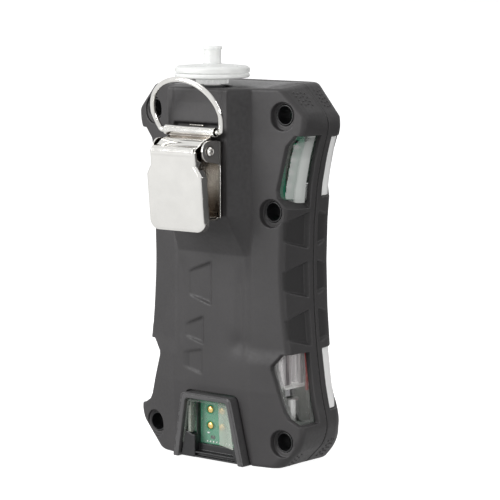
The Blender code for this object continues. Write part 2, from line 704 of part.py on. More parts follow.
def build_filter():
    axis = (0, FILTER_Y, 0)
    lower = turned("filter_lower_shell", [
        (1.0, 133.3), (FILTER_BORE_R, 133.9), (FILTER_BORE_R, 134.7), (FILTER_R, 134.7),
        (FILTER_R, 133.5), (FILTER_R - 0.5, 133.2), (5.5, 132.5), (5.4, 131.0), (2.9, 131.0),
        (2.9, 129.2), (2.3, 129.0), (2.3, 127.6), (2.9, 127.4), (2.9, 125.2), (2.6, 124.8),
        (1.0, 124.8), (1.0, 133.3)], axis, WHITE, 24)
    tidy(lower)
    turned("filter_membrane", [(0.0, 134.55), (11.1, 134.55), (11.1, 134.25), (0.0, 134.25)],
           axis, WHITE, 28)
    turned("filter_upper_shell", [
        (1.4, 143.8), (3.4, 143.8), (3.4, 142.9), (3.0, 142.6), (3.0, 138.4), (3.5, 137.8),
        (FILTER_R - 0.5, 137.1), (FILTER_R, 136.7), (FILTER_R, 135.0),
        (FILTER_BORE_R, 135.0), (FILTER_BORE_R, 135.5), (1.4, 136.0), (1.4, 143.8)],
        axis, WHITE, 24)
    turned("inlet_o_ring", [(2.45, 128.7), (2.9, 128.7), (3.15, 128.3), (2.9, 127.9),
                            (2.45, 127.9), (2.45, 128.7)], axis, SEAL, 18)


# ------------------------------------------------------------------ belt clip
def pin_hole():
    return cylinder("pin_hole", PIN_HOLE_R, -20, 20, (PIN_Y, PIN_Z), "X", 16)


def build_clip_base():
    base = box("clip_base", (-11.5, 23.2, 86.2), (11.5, 24.2, 112.4), STEEL)
    # lower lip with a comb of seven notches
    lip = [(23.2, 86.0), (24.6, 85.2), (31.6, 85.2), (31.6, 86.1), (24.9, 86.1), (24.2, 86.9),
           (24.2, 88.0), (23.2, 88.0)]
    join(base, prism("lip", lip, "YZ", -10.3, 10.3))
    for i in range(7):
        x = -9.0 + 3.0 * i
        cut(base, box("lip_notch", (x - 0.7, 30.6, 80), (x + 0.7, 40, 90)))
    # ears that carry the pin
    ear_outline = [(23.4, 104.2), (26.0, 105.0)] + arc(PIN_Y, PIN_Z, 3.8, -70, 70, 8) + \
        [(26.0, 112.9), (23.4, 112.4)]
    for start, end in both_sides(10.8, 11.5):
        ear = prism("ear", ear_outline, "YZ", start, end)
        cut(ear, pin_hole())
        join(base, ear)
    tongue = [(22.3, 109.0), (23.5, 109.0), (23.5, 112.0), (22.9, 113.4), (22.9, 116.6),
              (23.3, 117.1), (23.3, 117.6), (22.3, 117.6)]
    join(base, prism("tongue", tongue, "YZ", -3.2, 3.2))
    cut(base, cylinder("base_hole", 1.9, 20, 26, (0, CLIP_SCREW_Z), "Y", 16))
    tidy(base)


def build_clip_screw():
    """Screw with a cross slot in its head."""
    profile = [(0.0, 25.7), (2.2, 25.5), (3.0, 24.9), (3.0, 24.5), (1.5, 24.5), (1.5, 21.9),
               (0.0, 21.9)]
    screw = turned("clip_screw", profile, (0, 0, CLIP_SCREW_Z), STEEL, 20, "Y")
    for half_x, half_z in ((2.0, 0.3), (0.3, 2.0)):
        cut(screw, box("screw_slot", (-half_x, 25.1, CLIP_SCREW_Z - half_z),
                       (half_x, 27, CLIP_SCREW_Z + half_z)))


def build_clip_pin():
    profile = [(0.0, 12.8), (1.0, 12.6), (1.6, 12.0), (1.6, 11.8), (1.0, 11.8), (1.0, -11.8),
               (1.6, -11.8), (1.6, -12.0), (1.0, -12.6), (0.0, -12.8)]
    turned("clip_pin", profile, (0, PIN_Y, PIN_Z), STEEL, 16, "X")


# middle of the lever's front plate, as (y, z)
PLATE_TOP, PLATE_BOTTOM = (35.7, 109.6), (33.1, 81.9)
PLATE_SLOPE = (PLATE_TOP[0] - PLATE_BOTTOM[0]) / (PLATE_TOP[1] - PLATE_BOTTOM[1])
PLATE_EDGE_Z = 109.4                # upper edge of the front plate


def plate_y(z):
    return PLATE_BOTTOM[0] + PLATE_SLOPE * (z - PLATE_BOTTOM[1])


def sheet(path, thickness):
    """Outline of a sheet that follows a path in the YZ plane."""
    left, right = [], []
    for i, p in enumerate(path):
        before = Vector(path[max(0, i - 1)])
        after = Vector(path[min(len(path) - 1, i + 1)])
        d = (after - before).normalized()
        n = Vector((-d.y, d.x)) * thickness / 2
        left.append((p[0] + n.x, p[1] + n.y))
        right.append((p[0] - n.x, p[1] - n.y))
    return left + right[::-1]


def lever_front_plate():
    """A shallow channel with rounded lower corners."""
    outer = mirrored(arc(8.9, 85.3, 3.4, 270, 360, 5) +
                     [(12.3, 101.4), (11.4, 102.9), (10.2, 103.6), (10.2, PLATE_EDGE_Z)])
    inner = mirrored(arc(8.8, 85.4, 2.7, 270, 360, 5) +
                     [(11.5, 101.0), (10.7, 102.2), (9.4, 103.0), (9.4, PLATE_EDGE_Z + 3)])
    low, high, depth = 79, PLATE_EDGE_Z + 2, 3.6
    plate = prism("front_plate", outer, "XZ", 28.0, 40.0)
    slab = [(plate_y(low) - depth, low), (plate_y(low) + SHEET / 2, low),
            (plate_y(high) + SHEET / 2, high), (plate_y(high) - depth, high)]
    combine(plate, prism("plate_slab", slab, "YZ", -20, 20), "INTERSECT")
    hollow = prism("plate_hollow", inner, "XZ", 20.0, 40.0)
    behind = [(20, 76), (plate_y(76) - SHEET / 2, 76), (plate_y(116) - SHEET / 2, 116),
              (20, 116)]
    combine(hollow, prism("behind_plate", behind, "YZ", -20, 20), "INTERSECT")
    cut(plate, hollow)
    cut(plate, box("plate_relief", (-20, 20, 104.0), (20, plate_y(108) - 1.4, 120)))
    return plate


def build_clip_lever():
    # tab from the rolled bar end, over the spring, to the shoulder of the front plate
    tab = [(25.6, 114.4), (26.3, 113.7), (27.6, 113.1), (30.0, 112.5), (32.6, 110.9),
           (33.8, 110.5), (35.0, 110.4), (35.6, 109.7), (plate_y(108.4), 108.4)]
    lever = prism("clip_lever", sheet(tab, SHEET), "YZ", -9.4, 9.4, STEEL)
    join(lever, lever_front_plate())
    # flanges that turn on the pin
    flange_outline = arc(PIN_Y, PIN_Z, 2.3, 95, 260, 8) + [
        (31.2, 106.0), (33.4, 103.4), (plate_y(103) - 0.1, 103.0),
        (plate_y(109) - 0.1, 109.0), (34.2, 110.3), (31.0, 111.8)]
    for start, end in both_sides(8.8, 9.5):
        flange = prism("flange", flange_outline, "YZ", start, end)
        cut(flange, pin_hole())
        join(lever, flange)
    # rolled end round the D-ring bar
    join(lever, cylinder("roll", 1.7, -11.2, 11.2, (BAR_Y, BAR_Z), "X", 20))
    cut(lever, cylinder("roll_bore", 1.3, -20, 20, (BAR_Y, BAR_Z), "X", 20))
    origin_at(lever, (0, PIN_Y, PIN_Z))
    tidy(lever)


def build_d_ring():
    """Closed ring: a straight bar, tight corners and an elliptical bow, leaning outwards."""
    tilt = radians(RING_TILT)
    corner = arc(12.5, 1.2, 1.2, -60, 0, 2) + [(14.4, 3.2)]
    bow = [(15.0 * u, 6.0 + 12.8 * v) for u, v in arc(0, 0, 1.0, 0, 180, 14)]
    loop = [(-12.4, 0.0), (0.0, 0.0), (12.4, 0.0)] + corner + bow + \
        [(-u, v) for u, v in reversed(corner)]
    path = [(u, BAR_Y + v * sin(tilt), BAR_Z + v * cos(tilt)) for u, v in loop]
    ring = wire("d_ring", path, 1.0, STEEL, cyclic=True)
    origin_at(ring, (0, BAR_Y, BAR_Z))


def build_clip_spring():
    """Torsion spring round the pin, one leg against the tab, one towards the base."""
    turns, steps_per_turn, coil_r, half_length = 3.5, 8, 1.62, 2.2
    steps = int(turns * steps_per_turn)
    coil = []
    for i in range(steps + 1):
        angle = radians(60) - 2 * pi * i / steps_per_turn
        coil.append((-half_length + 2 * half_length * i / steps,
                     PIN_Y + coil_r * cos(angle), PIN_Z + coil_r * sin(angle)))
    tab_leg = [(coil[0][0], 28.4, 111.7)]
    base_leg = [(coil[-1][0], 30.9, 106.5), (coil[-1][0], 31.2, 104.5)]
    wire("clip_spring", tab_leg + coil + base_leg, 0.28, STEEL, resolution=1)


# ---------------------------------------------------------- docking contacts
def build_dock():
    contacts = [(x, z) for z in (17.4, 11.7) for x in (-2.7, 2.7)]
    frame = prism("dock_frame", dock_outline(DOCK_TOP - 0.35, 11.3, 16.2, bottom=0.1),
                  "XZ", 9.4, 19.3, GREY)
    cut(frame, prism("frame_hole", dock_outline(21.6, 9.4, 13.7, 1.8), "XZ", 5, REACH_Y))
    tidy(frame)

    window = prism("dock_window", dock_outline(21.25, 9.1, 13.3, 1.6, bottom=0.4),
                   "XZ", 12.9, 18.6, CLEAR)
    cut(window, prism("window_recess", dock_outline(20.0, 7.9, 11.9, 1.2),
                      "XZ", 13.7, REACH_Y))
    for place in contacts:
        cut(window, cylinder("contact_hole", 1.7, 10, 20, place, "Y", 12))
    tidy(window)

    prism("contact_board", dock_outline(20.9, 8.8, 12.6, 1.4, bottom=1.6),
          "XZ", 11.2, 12.4, BOARD)
    profile = [(0.0, 13.6), (1.15, 13.6), (1.35, 13.4), (1.35, 12.7), (0.0, 12.7)]
    for i, (x, z) in enumerate(contacts, start=1):
        turned("charge_contact_%d" % i, profile, (x, 0, z), GOLD, 12, "Y")


# ------------------------------------------------------------- display, keys
def build_display():
    box("display_window", (DISPLAY_X0 + DISPLAY_GAP, -15.3, DISPLAY_Z0 + DISPLAY_GAP),
        (DISPLAY_X1 - DISPLAY_GAP, -13.6, DISPLAY_Z1 - DISPLAY_GAP), GLASS, bevel=0.4)
    box("lcd_module", (-18.5, -10.4, 60.5), (18.5, -8.2, 93.5), LCD)
    box("front_board", (-20.6, -7.7, 18.0), (20.6, -6.5, 100.0), BOARD)


def build_buttons():
    """Buttons with a waist where they pass through the case."""
    waist_r = BUTTON_R - 1.0
    profile = [(0.0, -16.9), (BUTTON_R - 1.0, -16.8), (BUTTON_R - 0.2, -16.3),
               (BUTTON_R, -15.7), (BUTTON_R, -14.3), (waist_r, -14.3), (waist_r, -10.7),
               (BUTTON_R, -10.7), (BUTTON_R, BUTTON_BASE_Y), (0.0, BUTTON_BASE_Y)]
    for name, x in BUTTONS.items():
        button = turned(name, profile, (x, 0, BUTTON_Z), RUBBER, 16, "Y")
        origin_at(button, (x, BUTTON_BASE_Y, BUTTON_Z))


def build_sounder():
    profile = [(0.9, -10.6), (6.2, -10.6), (6.2, -8.0), (0.9, -8.0), (0.9, -10.6)]
    turned("alarm_sounder", profile, (0, 0, SOUND_Z), BLACK, 24, "Y")


# --------------------------------------------------------- boards and sensing
def build_main_board():
    front_y, rear_y = 0.7, 2.2
    half = [(24.0, 76.0), (25.2, 81.0), (24.0, 82.2), (19.8, 83.6), (19.8, 93.2),
            (25.6, 93.8), (26.5, 100.0), (28.9, 108.0), (29.2, 114.0), (24.4, 117.0),
            (24.4, 118.6)]
    board = prism("main_board", mirrored(half), "XZ", front_y, rear_y, BOARD)
    # rows of blocks along both edges
    for side in (1, -1):
        for z in (96.6, 101.2, 105.6, 110.0):
            x = side * (table(z, OUTLINE) - 7.6)
            join(board, box("board_block", (x - 1.3, rear_y - 0.3, z - 0.9),
                            (x + 1.3, rear_y + 1.1, z + 0.9)))
    tidy(board)


def build_sensors():
    profile = [(0.0, 8.9), (2.0, 8.9), (2.0, 9.4), (8.2, 9.4), (8.9, 8.9), (8.9, 2.6),
               (0.0, 2.6)]
    gasket = box("manifold_gasket", (-16.5, 9.7, 80.0), (16.5, 10.3, 112.5), SEAL)
    for name, x, z in SENSORS:
        turned(name, profile, (x, 0, z), SILVER, 20, "Y")
        cut(gasket, cylinder("sensor_hole", 4.2, 5, 20, (x, z), "Y", 14))
    manifold = box("sensor_manifold", (-12.8, 10.6, 86.0), (12.8, 12.4, 112.0), GREY,
                   bevel=0.5)
    tidy(manifold)


def build_pump():
    head = box("pump_head", (-6.5, PUMP_Y - 2.2, 103.5), (6.5, PUMP_Y + 2.2, 112.0), BLACK,
               bevel=0.6)
    cut(head, cylinder("pump_port", 1.15, 108, 114, (PUMP_PORT_X, PUMP_Y), "Z", 12))
    profile = [(0.0, 0.0), (1.9, -0.3), (2.15, -0.8), (2.15, -11.5), (0.0, -11.5)]
    turned("pump_motor", profile, (0, PUMP_Y, 103.1), SILVER, 20)
    wire("inlet_tube", [(PUMP_PORT_X, PUMP_Y, 110.5), (PUMP_PORT_X, PUMP_Y, 113.5),
                        (-2.0, 15.5, 116.4), (0, FILTER_Y, 117.6), (0, FILTER_Y, 119.6)],
         1.0, SILICONE)


def build_exhaust():
    wire("exhaust_tube", [(0, 4.0, 118.2), (0, 2.6, 121.0), (0, -1.0, 121.4),
                          (0, -5.0, 119.0), (0, -8.0, 112.0), (0, -9.0, 108.6),
                          (0, -10.2, EXHAUST_Z)], 1.0, SILICONE)
    turned("exhaust_filter", [(0.0, -14.9), (2.3, -14.9), (2.3, -13.6), (1.3, -13.6),
                              (1.3, -11.6), (0.0, -11.6)], (0, 0, EXHAUST_Z), WHITE, 20, "Y")


# ------------------------------------------------------------ power and motor
def build_battery():
    half = [(18.6 + 5.4 * x, 3.1 + 5.6 * y) for x, y in arc(0, 0, 1.0, -90, 90, 8)]
    prism("battery_pack", mirrored(half), "XY", 27.5, 71.0, WRAP)
    wire("battery_wire_red", [
        (-21.5, 0.6, 71.9), (-22.0, -0.6, 73.6), (-23.6, -2.4, 70.0), (-25.2, -3.0, 56.0),
        (-27.0, -2.6, 42.0), (-28.5, -1.6, 34.0), (-28.8, -1.3, 26.0)],
        0.55, RED, resolution=1)
    wire("battery_wire_black", [
        (21.5, 0.6, 71.9), (22.0, -0.6, 73.6), (23.4, -2.4, 70.0), (25.0, -3.0, 56.0),
        (26.0, -4.0, 44.0), (24.4, -5.4, 36.0), (22.4, -7.1, 34.0)],
        0.55, BLACK, resolution=1)


def build_vibrator():
    """Vibration motor with an off-centre weight above it."""
    profile = [(0.0, 23.6), (3.0, 23.5), (3.4, 23.1), (3.4, 15.6), (3.0, 15.2), (0.0, 15.2)]
    turned("vibration_motor", profile, (VIBRATOR_X, VIBRATOR_Y, 0), SILVER, 24)
    outline = arc(0, 0, 2.7, -95, 95, 10) + [(-0.9, 0.9), (-0.9, -0.9)]
    weight = prism("vibration_weight", [(VIBRATOR_X + x, VIBRATOR_Y + y) for x, y in outline],
                   "XY", 24.1, 26.6, STEEL)
    origin_at(weight, (VIBRATOR_X, VIBRATOR_Y, 24.0))


build_rear_overmould()
build_front_overmould()
build_rear_case()
build_front_case()
build_gasket()
build_case_screws()
build_inlet_plate()
build_inlet_socket()
build_filter()
build_clip_base()
build_clip_screw()
build_clip_pin()
build_clip_lever()
build_d_ring()
build_clip_spring()
build_dock()
build_display()
build_buttons()
build_sounder()
build_main_board()
build_sensors()
build_pump()
build_exhaust()
build_battery()
build_vibrator()
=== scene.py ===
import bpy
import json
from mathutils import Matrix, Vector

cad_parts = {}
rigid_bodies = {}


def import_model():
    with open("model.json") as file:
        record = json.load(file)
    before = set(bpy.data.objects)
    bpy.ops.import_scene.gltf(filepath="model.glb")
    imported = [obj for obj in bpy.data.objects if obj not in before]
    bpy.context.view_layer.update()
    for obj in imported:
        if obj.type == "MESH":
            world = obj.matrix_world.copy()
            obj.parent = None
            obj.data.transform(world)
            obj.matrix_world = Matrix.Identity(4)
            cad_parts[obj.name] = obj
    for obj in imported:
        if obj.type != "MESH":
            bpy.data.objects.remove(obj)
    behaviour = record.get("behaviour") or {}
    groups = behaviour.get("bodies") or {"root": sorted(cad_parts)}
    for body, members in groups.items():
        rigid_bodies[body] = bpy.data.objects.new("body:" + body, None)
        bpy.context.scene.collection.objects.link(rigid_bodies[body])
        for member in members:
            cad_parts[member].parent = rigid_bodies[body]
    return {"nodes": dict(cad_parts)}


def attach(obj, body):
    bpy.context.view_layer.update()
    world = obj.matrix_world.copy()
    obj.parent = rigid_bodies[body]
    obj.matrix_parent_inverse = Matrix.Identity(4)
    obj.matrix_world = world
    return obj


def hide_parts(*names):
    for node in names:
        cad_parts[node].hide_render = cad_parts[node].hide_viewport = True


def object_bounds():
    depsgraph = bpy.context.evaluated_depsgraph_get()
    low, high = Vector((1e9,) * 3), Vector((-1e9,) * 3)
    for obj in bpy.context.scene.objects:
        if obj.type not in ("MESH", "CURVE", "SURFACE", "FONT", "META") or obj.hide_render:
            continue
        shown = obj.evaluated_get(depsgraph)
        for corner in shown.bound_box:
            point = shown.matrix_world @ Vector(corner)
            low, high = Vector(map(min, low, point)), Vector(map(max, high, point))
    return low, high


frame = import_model()
CAD_BOX = [list(c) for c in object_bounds()]

import bpy, bmesh, json
import numpy as np
from math import sin, cos, pi, radians, sqrt
from mathutils import Vector, Matrix
CAD_NAMES = {o.name for o in bpy.data.objects}

NODES = frame["nodes"]
f32 = np.float32

# ---------------------------------------------------------------- dimensions (mm)
PART_Y, GAP = -2.5, 0.24
REAR_Y, FRONT_Y = 15.8, -15.5
PAD_Y, PAD_HALF, PAD_FOOT = 22.9, 13.4, 17.4
CROWN = 1.2
SCREWS = [(29.1, 121.3), (24.8, 88.4), (29.0, 9.6)]
PIN_Y, PIN_Z = 29.5, 109.3
BAR_Y, BAR_Z = 26.0, 115.5
FILT_Y = 14.8
OUTLINE = [(-12, 36.6), (11.4, 36.6), (14.5, 37.0), (17.5, 36.6), (21, 35.6),
           (28, 34.1), (40, 32.4), (54, 31.15), (70, 30.6), (84, 31.0),
           (97, 32.3), (106, 34.1), (111.5, 35.6), (114.5, 36.6),
           (117, 37.0), (119.5, 36.7), (145, 36.7)]
LEAN = [(0, -0.4), (12, -0.4), (15, -0.3), (21, 0.9), (40, 0.6), (52, 1.0), (62, 1.3), (84, 1.3), (100, 1.0),
        (110, 1.0), (116, -0.3), (121.8, -1.4), (130, -2.3)]
WIN_REAR = {True: [(45, 89.4), (45, 114.4), (33.6, 114.4), (30.3, 110.8), (26.9, 95.8), (27.3, 93.0), (30.6, 89.4)],
            False: [(45, 39.9), (45, 15.6), (35.4, 15.6), (31.6, 17.8), (30.3, 19.8), (25.4, 34.4), (25.4, 35.9), (28.9, 39.9)]}
FOOT = {True: 0.4, False: 1.5}
WIN_FRONT = {True: [(45, 92.6), (45, 113.6), (32.6, 113.6), (30.4, 108.5), (27.4, 96.4), (28.6, 92.6)],
             False: [(45, 40.4), (45, 19.2), (33.8, 19.2), (31.0, 22.4), (26.4, 36.2), (28.6, 40.4)]}


# ---------------------------------------------------------------- distance fields
def rmax(a, b, r):
    """Intersection with a round edge of radius r."""
    if r <= 0:
        return np.maximum(a, b)
    return np.minimum(np.maximum(a, b), -r) + np.sqrt(np.maximum(a + r, 0) ** 2 + np.maximum(b + r, 0) ** 2)


def rmin(a, b, r):
    return -rmax(-a, -b, r)


def sub(a, b, r=0.3):
    return rmax(a, -b, r)


def poly(px, py, pts, r=0.0):
    """Signed distance to a closed outline; negative inside. r is not used."""
    d = None
    s = None
    n = len(pts)
    for i in range(n):
        ax, ay = pts[i]
        bx, by = pts[(i + 1) % n]
        ex, ey = bx - ax, by - ay
        wx, wy = px - ax, py - ay
        t = np.clip((wx * ex + wy * ey) / (ex * ex + ey * ey), 0, 1)
        q = (wx - ex * t) ** 2 + (wy - ey * t) ** 2
        d = q if d is None else np.minimum(d, q)
        c1, c2 = py >= ay, py < by
        c3 = ex * wy > ey * wx
        flip = (c1 & c2 & c3) | (~c1 & ~c2 & ~c3)
        s = flip if s is None else (s ^ flip)
    return np.where(s, -1.0, 1.0) * np.sqrt(d)


def inset(pts, r):
    """Offset a simple outline inwards by r (mitred), so that poly() - r has round corners."""
    area = sum(a[0] * b[1] - b[0] * a[1] for a, b in zip(pts, pts[1:] + pts[:1]))
    sg = 1 if area > 0 else -1
    out = []
    n = len(pts)
    for i in range(n):
        p0, p1, p2 = Vector(pts[i - 1]), Vector(pts[i]), Vector(pts[(i + 1) % n])
        d1, d2 = (p1 - p0).normalized(), (p2 - p1).normalized()
        n1, n2 = Vector((-d1.y, d1.x)) * sg, Vector((-d2.y, d2.x)) * sg
        k = (n1 + n2)
        k = k / max(0.35, k.length_squared / 2)
        out.append((p1.x + k.x * r, p1.y + k.y * r))
    return out


def rpoly(px, py, pts, r):
    return poly(px, py, inset(pts, r)) - r


def segs(px, py, path):
    """Unsigned distance to an open poly line."""
    d = None
    for (ax, ay), (bx, by) in zip(path, path[1:]):
        ex, ey = bx - ax, by - ay
        wx, wy = px - ax, py - ay
        t = np.clip((wx * ex + wy * ey) / (ex * ex + ey * ey), 0, 1)
        q = (wx - ex * t) ** 2 + (wy - ey * t) ** 2
        d = q if d is None else np.minimum(d, q)
    return np.sqrt(d)


def slab(v, lo, hi):
    return np.maximum(lo - v, v - hi)


def rbox(x, y, z, lo, hi, r=0.3):
    return rmax(rmax(slab(x, lo[0], hi[0]), slab(y, lo[1], hi[1]), r), slab(z, lo[2], hi[2]), r)


def smooth(pts, n=6):
    """Catmull-Rom through a list of points of any dimension."""
    P = [np.array(p, float) for p in pts]
    P = [2 * P[0] - P[1]] + P + [2 * P[-1] - P[-2]]
    out = []
    for i in range(1, len(P) - 2):
        a, b, c, d = P[i - 1], P[i], P[i + 1], P[i + 2]
        for k in range(n):
            t = k / n
            out.append(0.5 * ((2 * b) + (c - a) * t + (2 * a - 5 * b + 4 * c - d) * t * t + (3 * b - a - 3 * c + d) * t ** 3))
    out.append(P[-2])
    return [tuple(p) for p in out]


class Map2:
    """A field on a regular 2D lattice, blurred, read back by smooth interpolation."""

    def __init__(self, fn, lo, hi, step, sigma):
        self.lo, self.step = lo, step
        a = np.arange(lo[0], hi[0] + step, step, dtype=f32)
        b = np.arange(lo[1], hi[1] + step, step, dtype=f32)
        v = np.array(fn(a[:, None], b[None, :]) + np.zeros((len(a), len(b))), dtype=f32)
        if sigma > 0:
            r = int(3 * sigma / step) + 1
            k = np.exp(-0.5 * (np.arange(-r, r + 1) * step / sigma) ** 2)
            k = (k / k.sum()).astype(f32)
            for ax in (0, 1):
                p = np.pad(v, [(r, r) if i == ax else (0, 0) for i in (0, 1)], mode="edge")
                out = np.zeros_like(v)
                for i, w in enumerate(k):
                    out += w * (p[i:i + v.shape[0], :] if ax == 0 else p[:, i:i + v.shape[1]])
                v = out
        self.v = v

    def __call__(self, a, b):
        a, b = np.broadcast_arrays((a - self.lo[0]) / self.step, (b - self.lo[1]) / self.step)
        a = np.clip(a, 0, self.v.shape[0] - 1.001)
        b = np.clip(b, 0, self.v.shape[1] - 1.001)
        i, j = a.astype(np.int32), b.astype(np.int32)
        s, t = (a - i).astype(f32), (b - j).astype(f32)
        v = self.v
        return (v[i, j] * (1 - s) * (1 - t) + v[i + 1, j] * s * (1 - t) + v[i, j + 1] * (1 - s) * t + v[i + 1, j + 1] * s * t)


def nets(fn, lo, hi, h):
    ax = [np.arange(lo[i], hi[i] + h, h, dtype=f32) for i in range(3)]
    x, y, z = ax[0][:, None, None], ax[1][None, :, None], ax[2][None, None, :]
    F = np.array(fn(x, y, z) + np.zeros((len(ax[0]), len(ax[1]), len(ax[2])), f32), dtype=f32)
    F[np.abs(F) < 1e-6] = 1e-6
    F[0], F[-1] = 1, 1
    F[:, 0], F[:, -1] = 1, 1
    F[:, :, 0], F[:, :, -1] = 1, 1
    S = F < 0
    nx, ny, nz = S.shape
    cnt = np.zeros((nx - 1, ny - 1, nz - 1), np.int8)
    for i in (0, 1):
        for j in (0, 1):
            for k in (0, 1):
                cnt += S[i:nx - 1 + i, j:ny - 1 + j, k:nz - 1 + k]
    mixed = (cnt > 0) & (cnt < 8)
    idx = np.argwhere(mixed)
    ids = np.full(mixed.shape, -1, np.int64)
    ids[mixed] = np.arange(len(idx))
    P = np.zeros((len(idx), 3))
    num = np.zeros(len(idx))
    corners = [(i, j, k) for i in (0, 1) for j in (0, 1) for k in (0, 1)]
    I, J, K = idx.T
    val = {c: F[I + c[0], J + c[1], K + c[2]] for c in corners}
    for c in corners:
        for a in range(3):
            if c[a] == 0:
                d = list(c)
                d[a] = 1
                d = tuple(d)
                fa, fb = val[c], val[d]
                m = (fa < 0) != (fb < 0)
                t = np.where(m, fa / np.where(m, fa - fb, 1), 0)
                for q in range(3):
                    P[:, q] += np.where(m, c[q] + (t if q == a else 0), 0)
                num += m
    P = (idx + P / num[:, None]) * h + np.array(lo)
    quads = []
    for a in range(3):
        b, c = (a + 1) % 3, (a + 2) % 3
        sl0 = [slice(1, -1)] * 3
        sl1 = [slice(1, -1)] * 3
        sl0[a], sl1[a] = slice(0, -1), slice(1, None)
        ch = S[tuple(sl0)] != S[tuple(sl1)]
        e = np.argwhere(ch)
        off = np.ones(3, int)
        off[a] = 0
        e = e + off
        inside = S[tuple(e.T)]
        eb, ec = np.zeros(3, int), np.zeros(3, int)
        eb[b], ec[c] = 1, 1
        q = np.stack([ids[tuple((e - eb - ec).T)], ids[tuple((e - ec).T)], ids[tuple(e.T)], ids[tuple((e - eb).T)]], 1)
        q[~inside] = q[~inside][:, ::-1]
        quads.append(q)
    return P, np.concatenate(quads)


def grad(fn, P, e):
    x, y, z = P[:, 0], P[:, 1], P[:, 2]
    g = np.stack([fn(x + e, y, z) - fn(x - e, y, z), fn(x, y + e, z) - fn(x, y - e, z), fn(x, y, z + e) - fn(x, y, z - e)], 1)
    return g / (2 * e)


def project(fn, P, e, limit, times=1):
    for _ in range(times):
        g = grad(fn, P, e)
        d = fn(P[:, 0], P[:, 1], P[:, 2])
        s = d / np.maximum((g * g).sum(1), 0.25)
        step = -g * s[:, None]
        ln = np.linalg.norm(step, axis=1)
        step *= np.minimum(1, limit / np.maximum(ln, 1e-9))[:, None]
        P = P + step
    return P


def shape(name, fn, lo, hi, h, mat, faces=None, e=0.12):
    """Turn a distance field into a mesh with normals taken from the field itself."""
    P, Q = nets(fn, lo, hi, h)
    P = project(fn, P, e, h * 0.5)
    me = bpy.data.meshes.new(name)
    me.vertices.add(len(P))
    me.vertices.foreach_set("co", (P * 0.001).astype(f32).ravel())
    me.loops.add(len(Q) * 4)
    me.loops.foreach_set("vertex_index", Q.astype(np.int32).ravel())
    me.polygons.add(len(Q))
    me.polygons.foreach_set("loop_start", (np.arange(len(Q)) * 4).astype(np.int32))
    me.update(calc_edges=True)
    ob = bpy.data.objects.new(name, me)
    bpy.context.scene.collection.objects.link(ob)
    if faces and len(Q) * 2 > faces:
        m = ob.modifiers.new("reduce", "DECIMATE")
        m.ratio = faces / (len(Q) * 2)
        dg = bpy.context.evaluated_depsgraph_get()
        dg.update()
        me2 = bpy.data.meshes.new_from_object(ob.evaluated_get(dg))
        ob.modifiers.clear()
        ob.data = me2
        bpy.data.meshes.remove(me)
        me = me2
        me.name = name
    P = np.zeros(len(me.vertices) * 3, f32)
    me.vertices.foreach_get("co", P)
    P = P.reshape(-1, 3).astype(float) * 1000
    g = grad(fn, P, e)
    ln = np.linalg.norm(g, axis=1)
    me.polygons.foreach_set("use_smooth", np.ones(len(me.polygons), bool))
    vn = np.zeros(len(P) * 3, f32)
    me.vertex_normals.foreach_get("vector", vn)
    vn = vn.reshape(-1, 3)
    g = g / np.maximum(ln, 1e-6)[:, None]
    bad = (ln < 0.3) | ((g * vn).sum(1) < 0.5)
    g[bad] = vn[bad]
    me.normals_split_custom_set_from_vertices([tuple(v) for v in g])
    me.materials.clear()
    me.materials.append(mat)
    return ob


# ---------------------------------------------------------------- mesh helpers
def finish_bm(name, bm, mat, angle=40):
    bmesh.ops.remove_doubles(bm, verts=bm.verts, dist=1e-7)
    bmesh.ops.recalc_face_normals(bm, faces=bm.faces)
    me = bpy.data.meshes.new(name)
    bm.to_mesh(me)
    bm.free()
    me.shade_smooth()
    me.set_sharp_from_angle(angle=radians(angle))
    me.materials.append(mat)
    ob = bpy.data.objects.new(name, me)
    bpy.context.scene.collection.objects.link(ob)
    return ob


def round_profile(pts, r=0.15, n=3):
    """Round the corners of an open profile."""
    out = [pts[0]]
    for a, b, c in zip(pts, pts[1:], pts[2:]):
        a, b, c = Vector(a), Vector(b), Vector(c)
        u, v = a - b, c - b
        k = min(r, u.length * 0.45, v.length * 0.45)
        if k < 1e-4 or b.x < 1e-6:
            out.append(tuple(b))
            continue
        p, q = b + u.normalized() * k, b + v.normalized() * k
        for i in range(n + 1):
            t = i / n
            w = p * (1 - t) ** 2 + b * 2 * t * (1 - t) + q * t * t
            out.append((w.x, w.y))
    out.append(pts[-1])
    return out


AX = {"X": Matrix.Rotation(pi / 2, 4, "Y"), "Y": Matrix.Rotation(-pi / 2, 4, "X"), "Z": Matrix.Identity(4)}


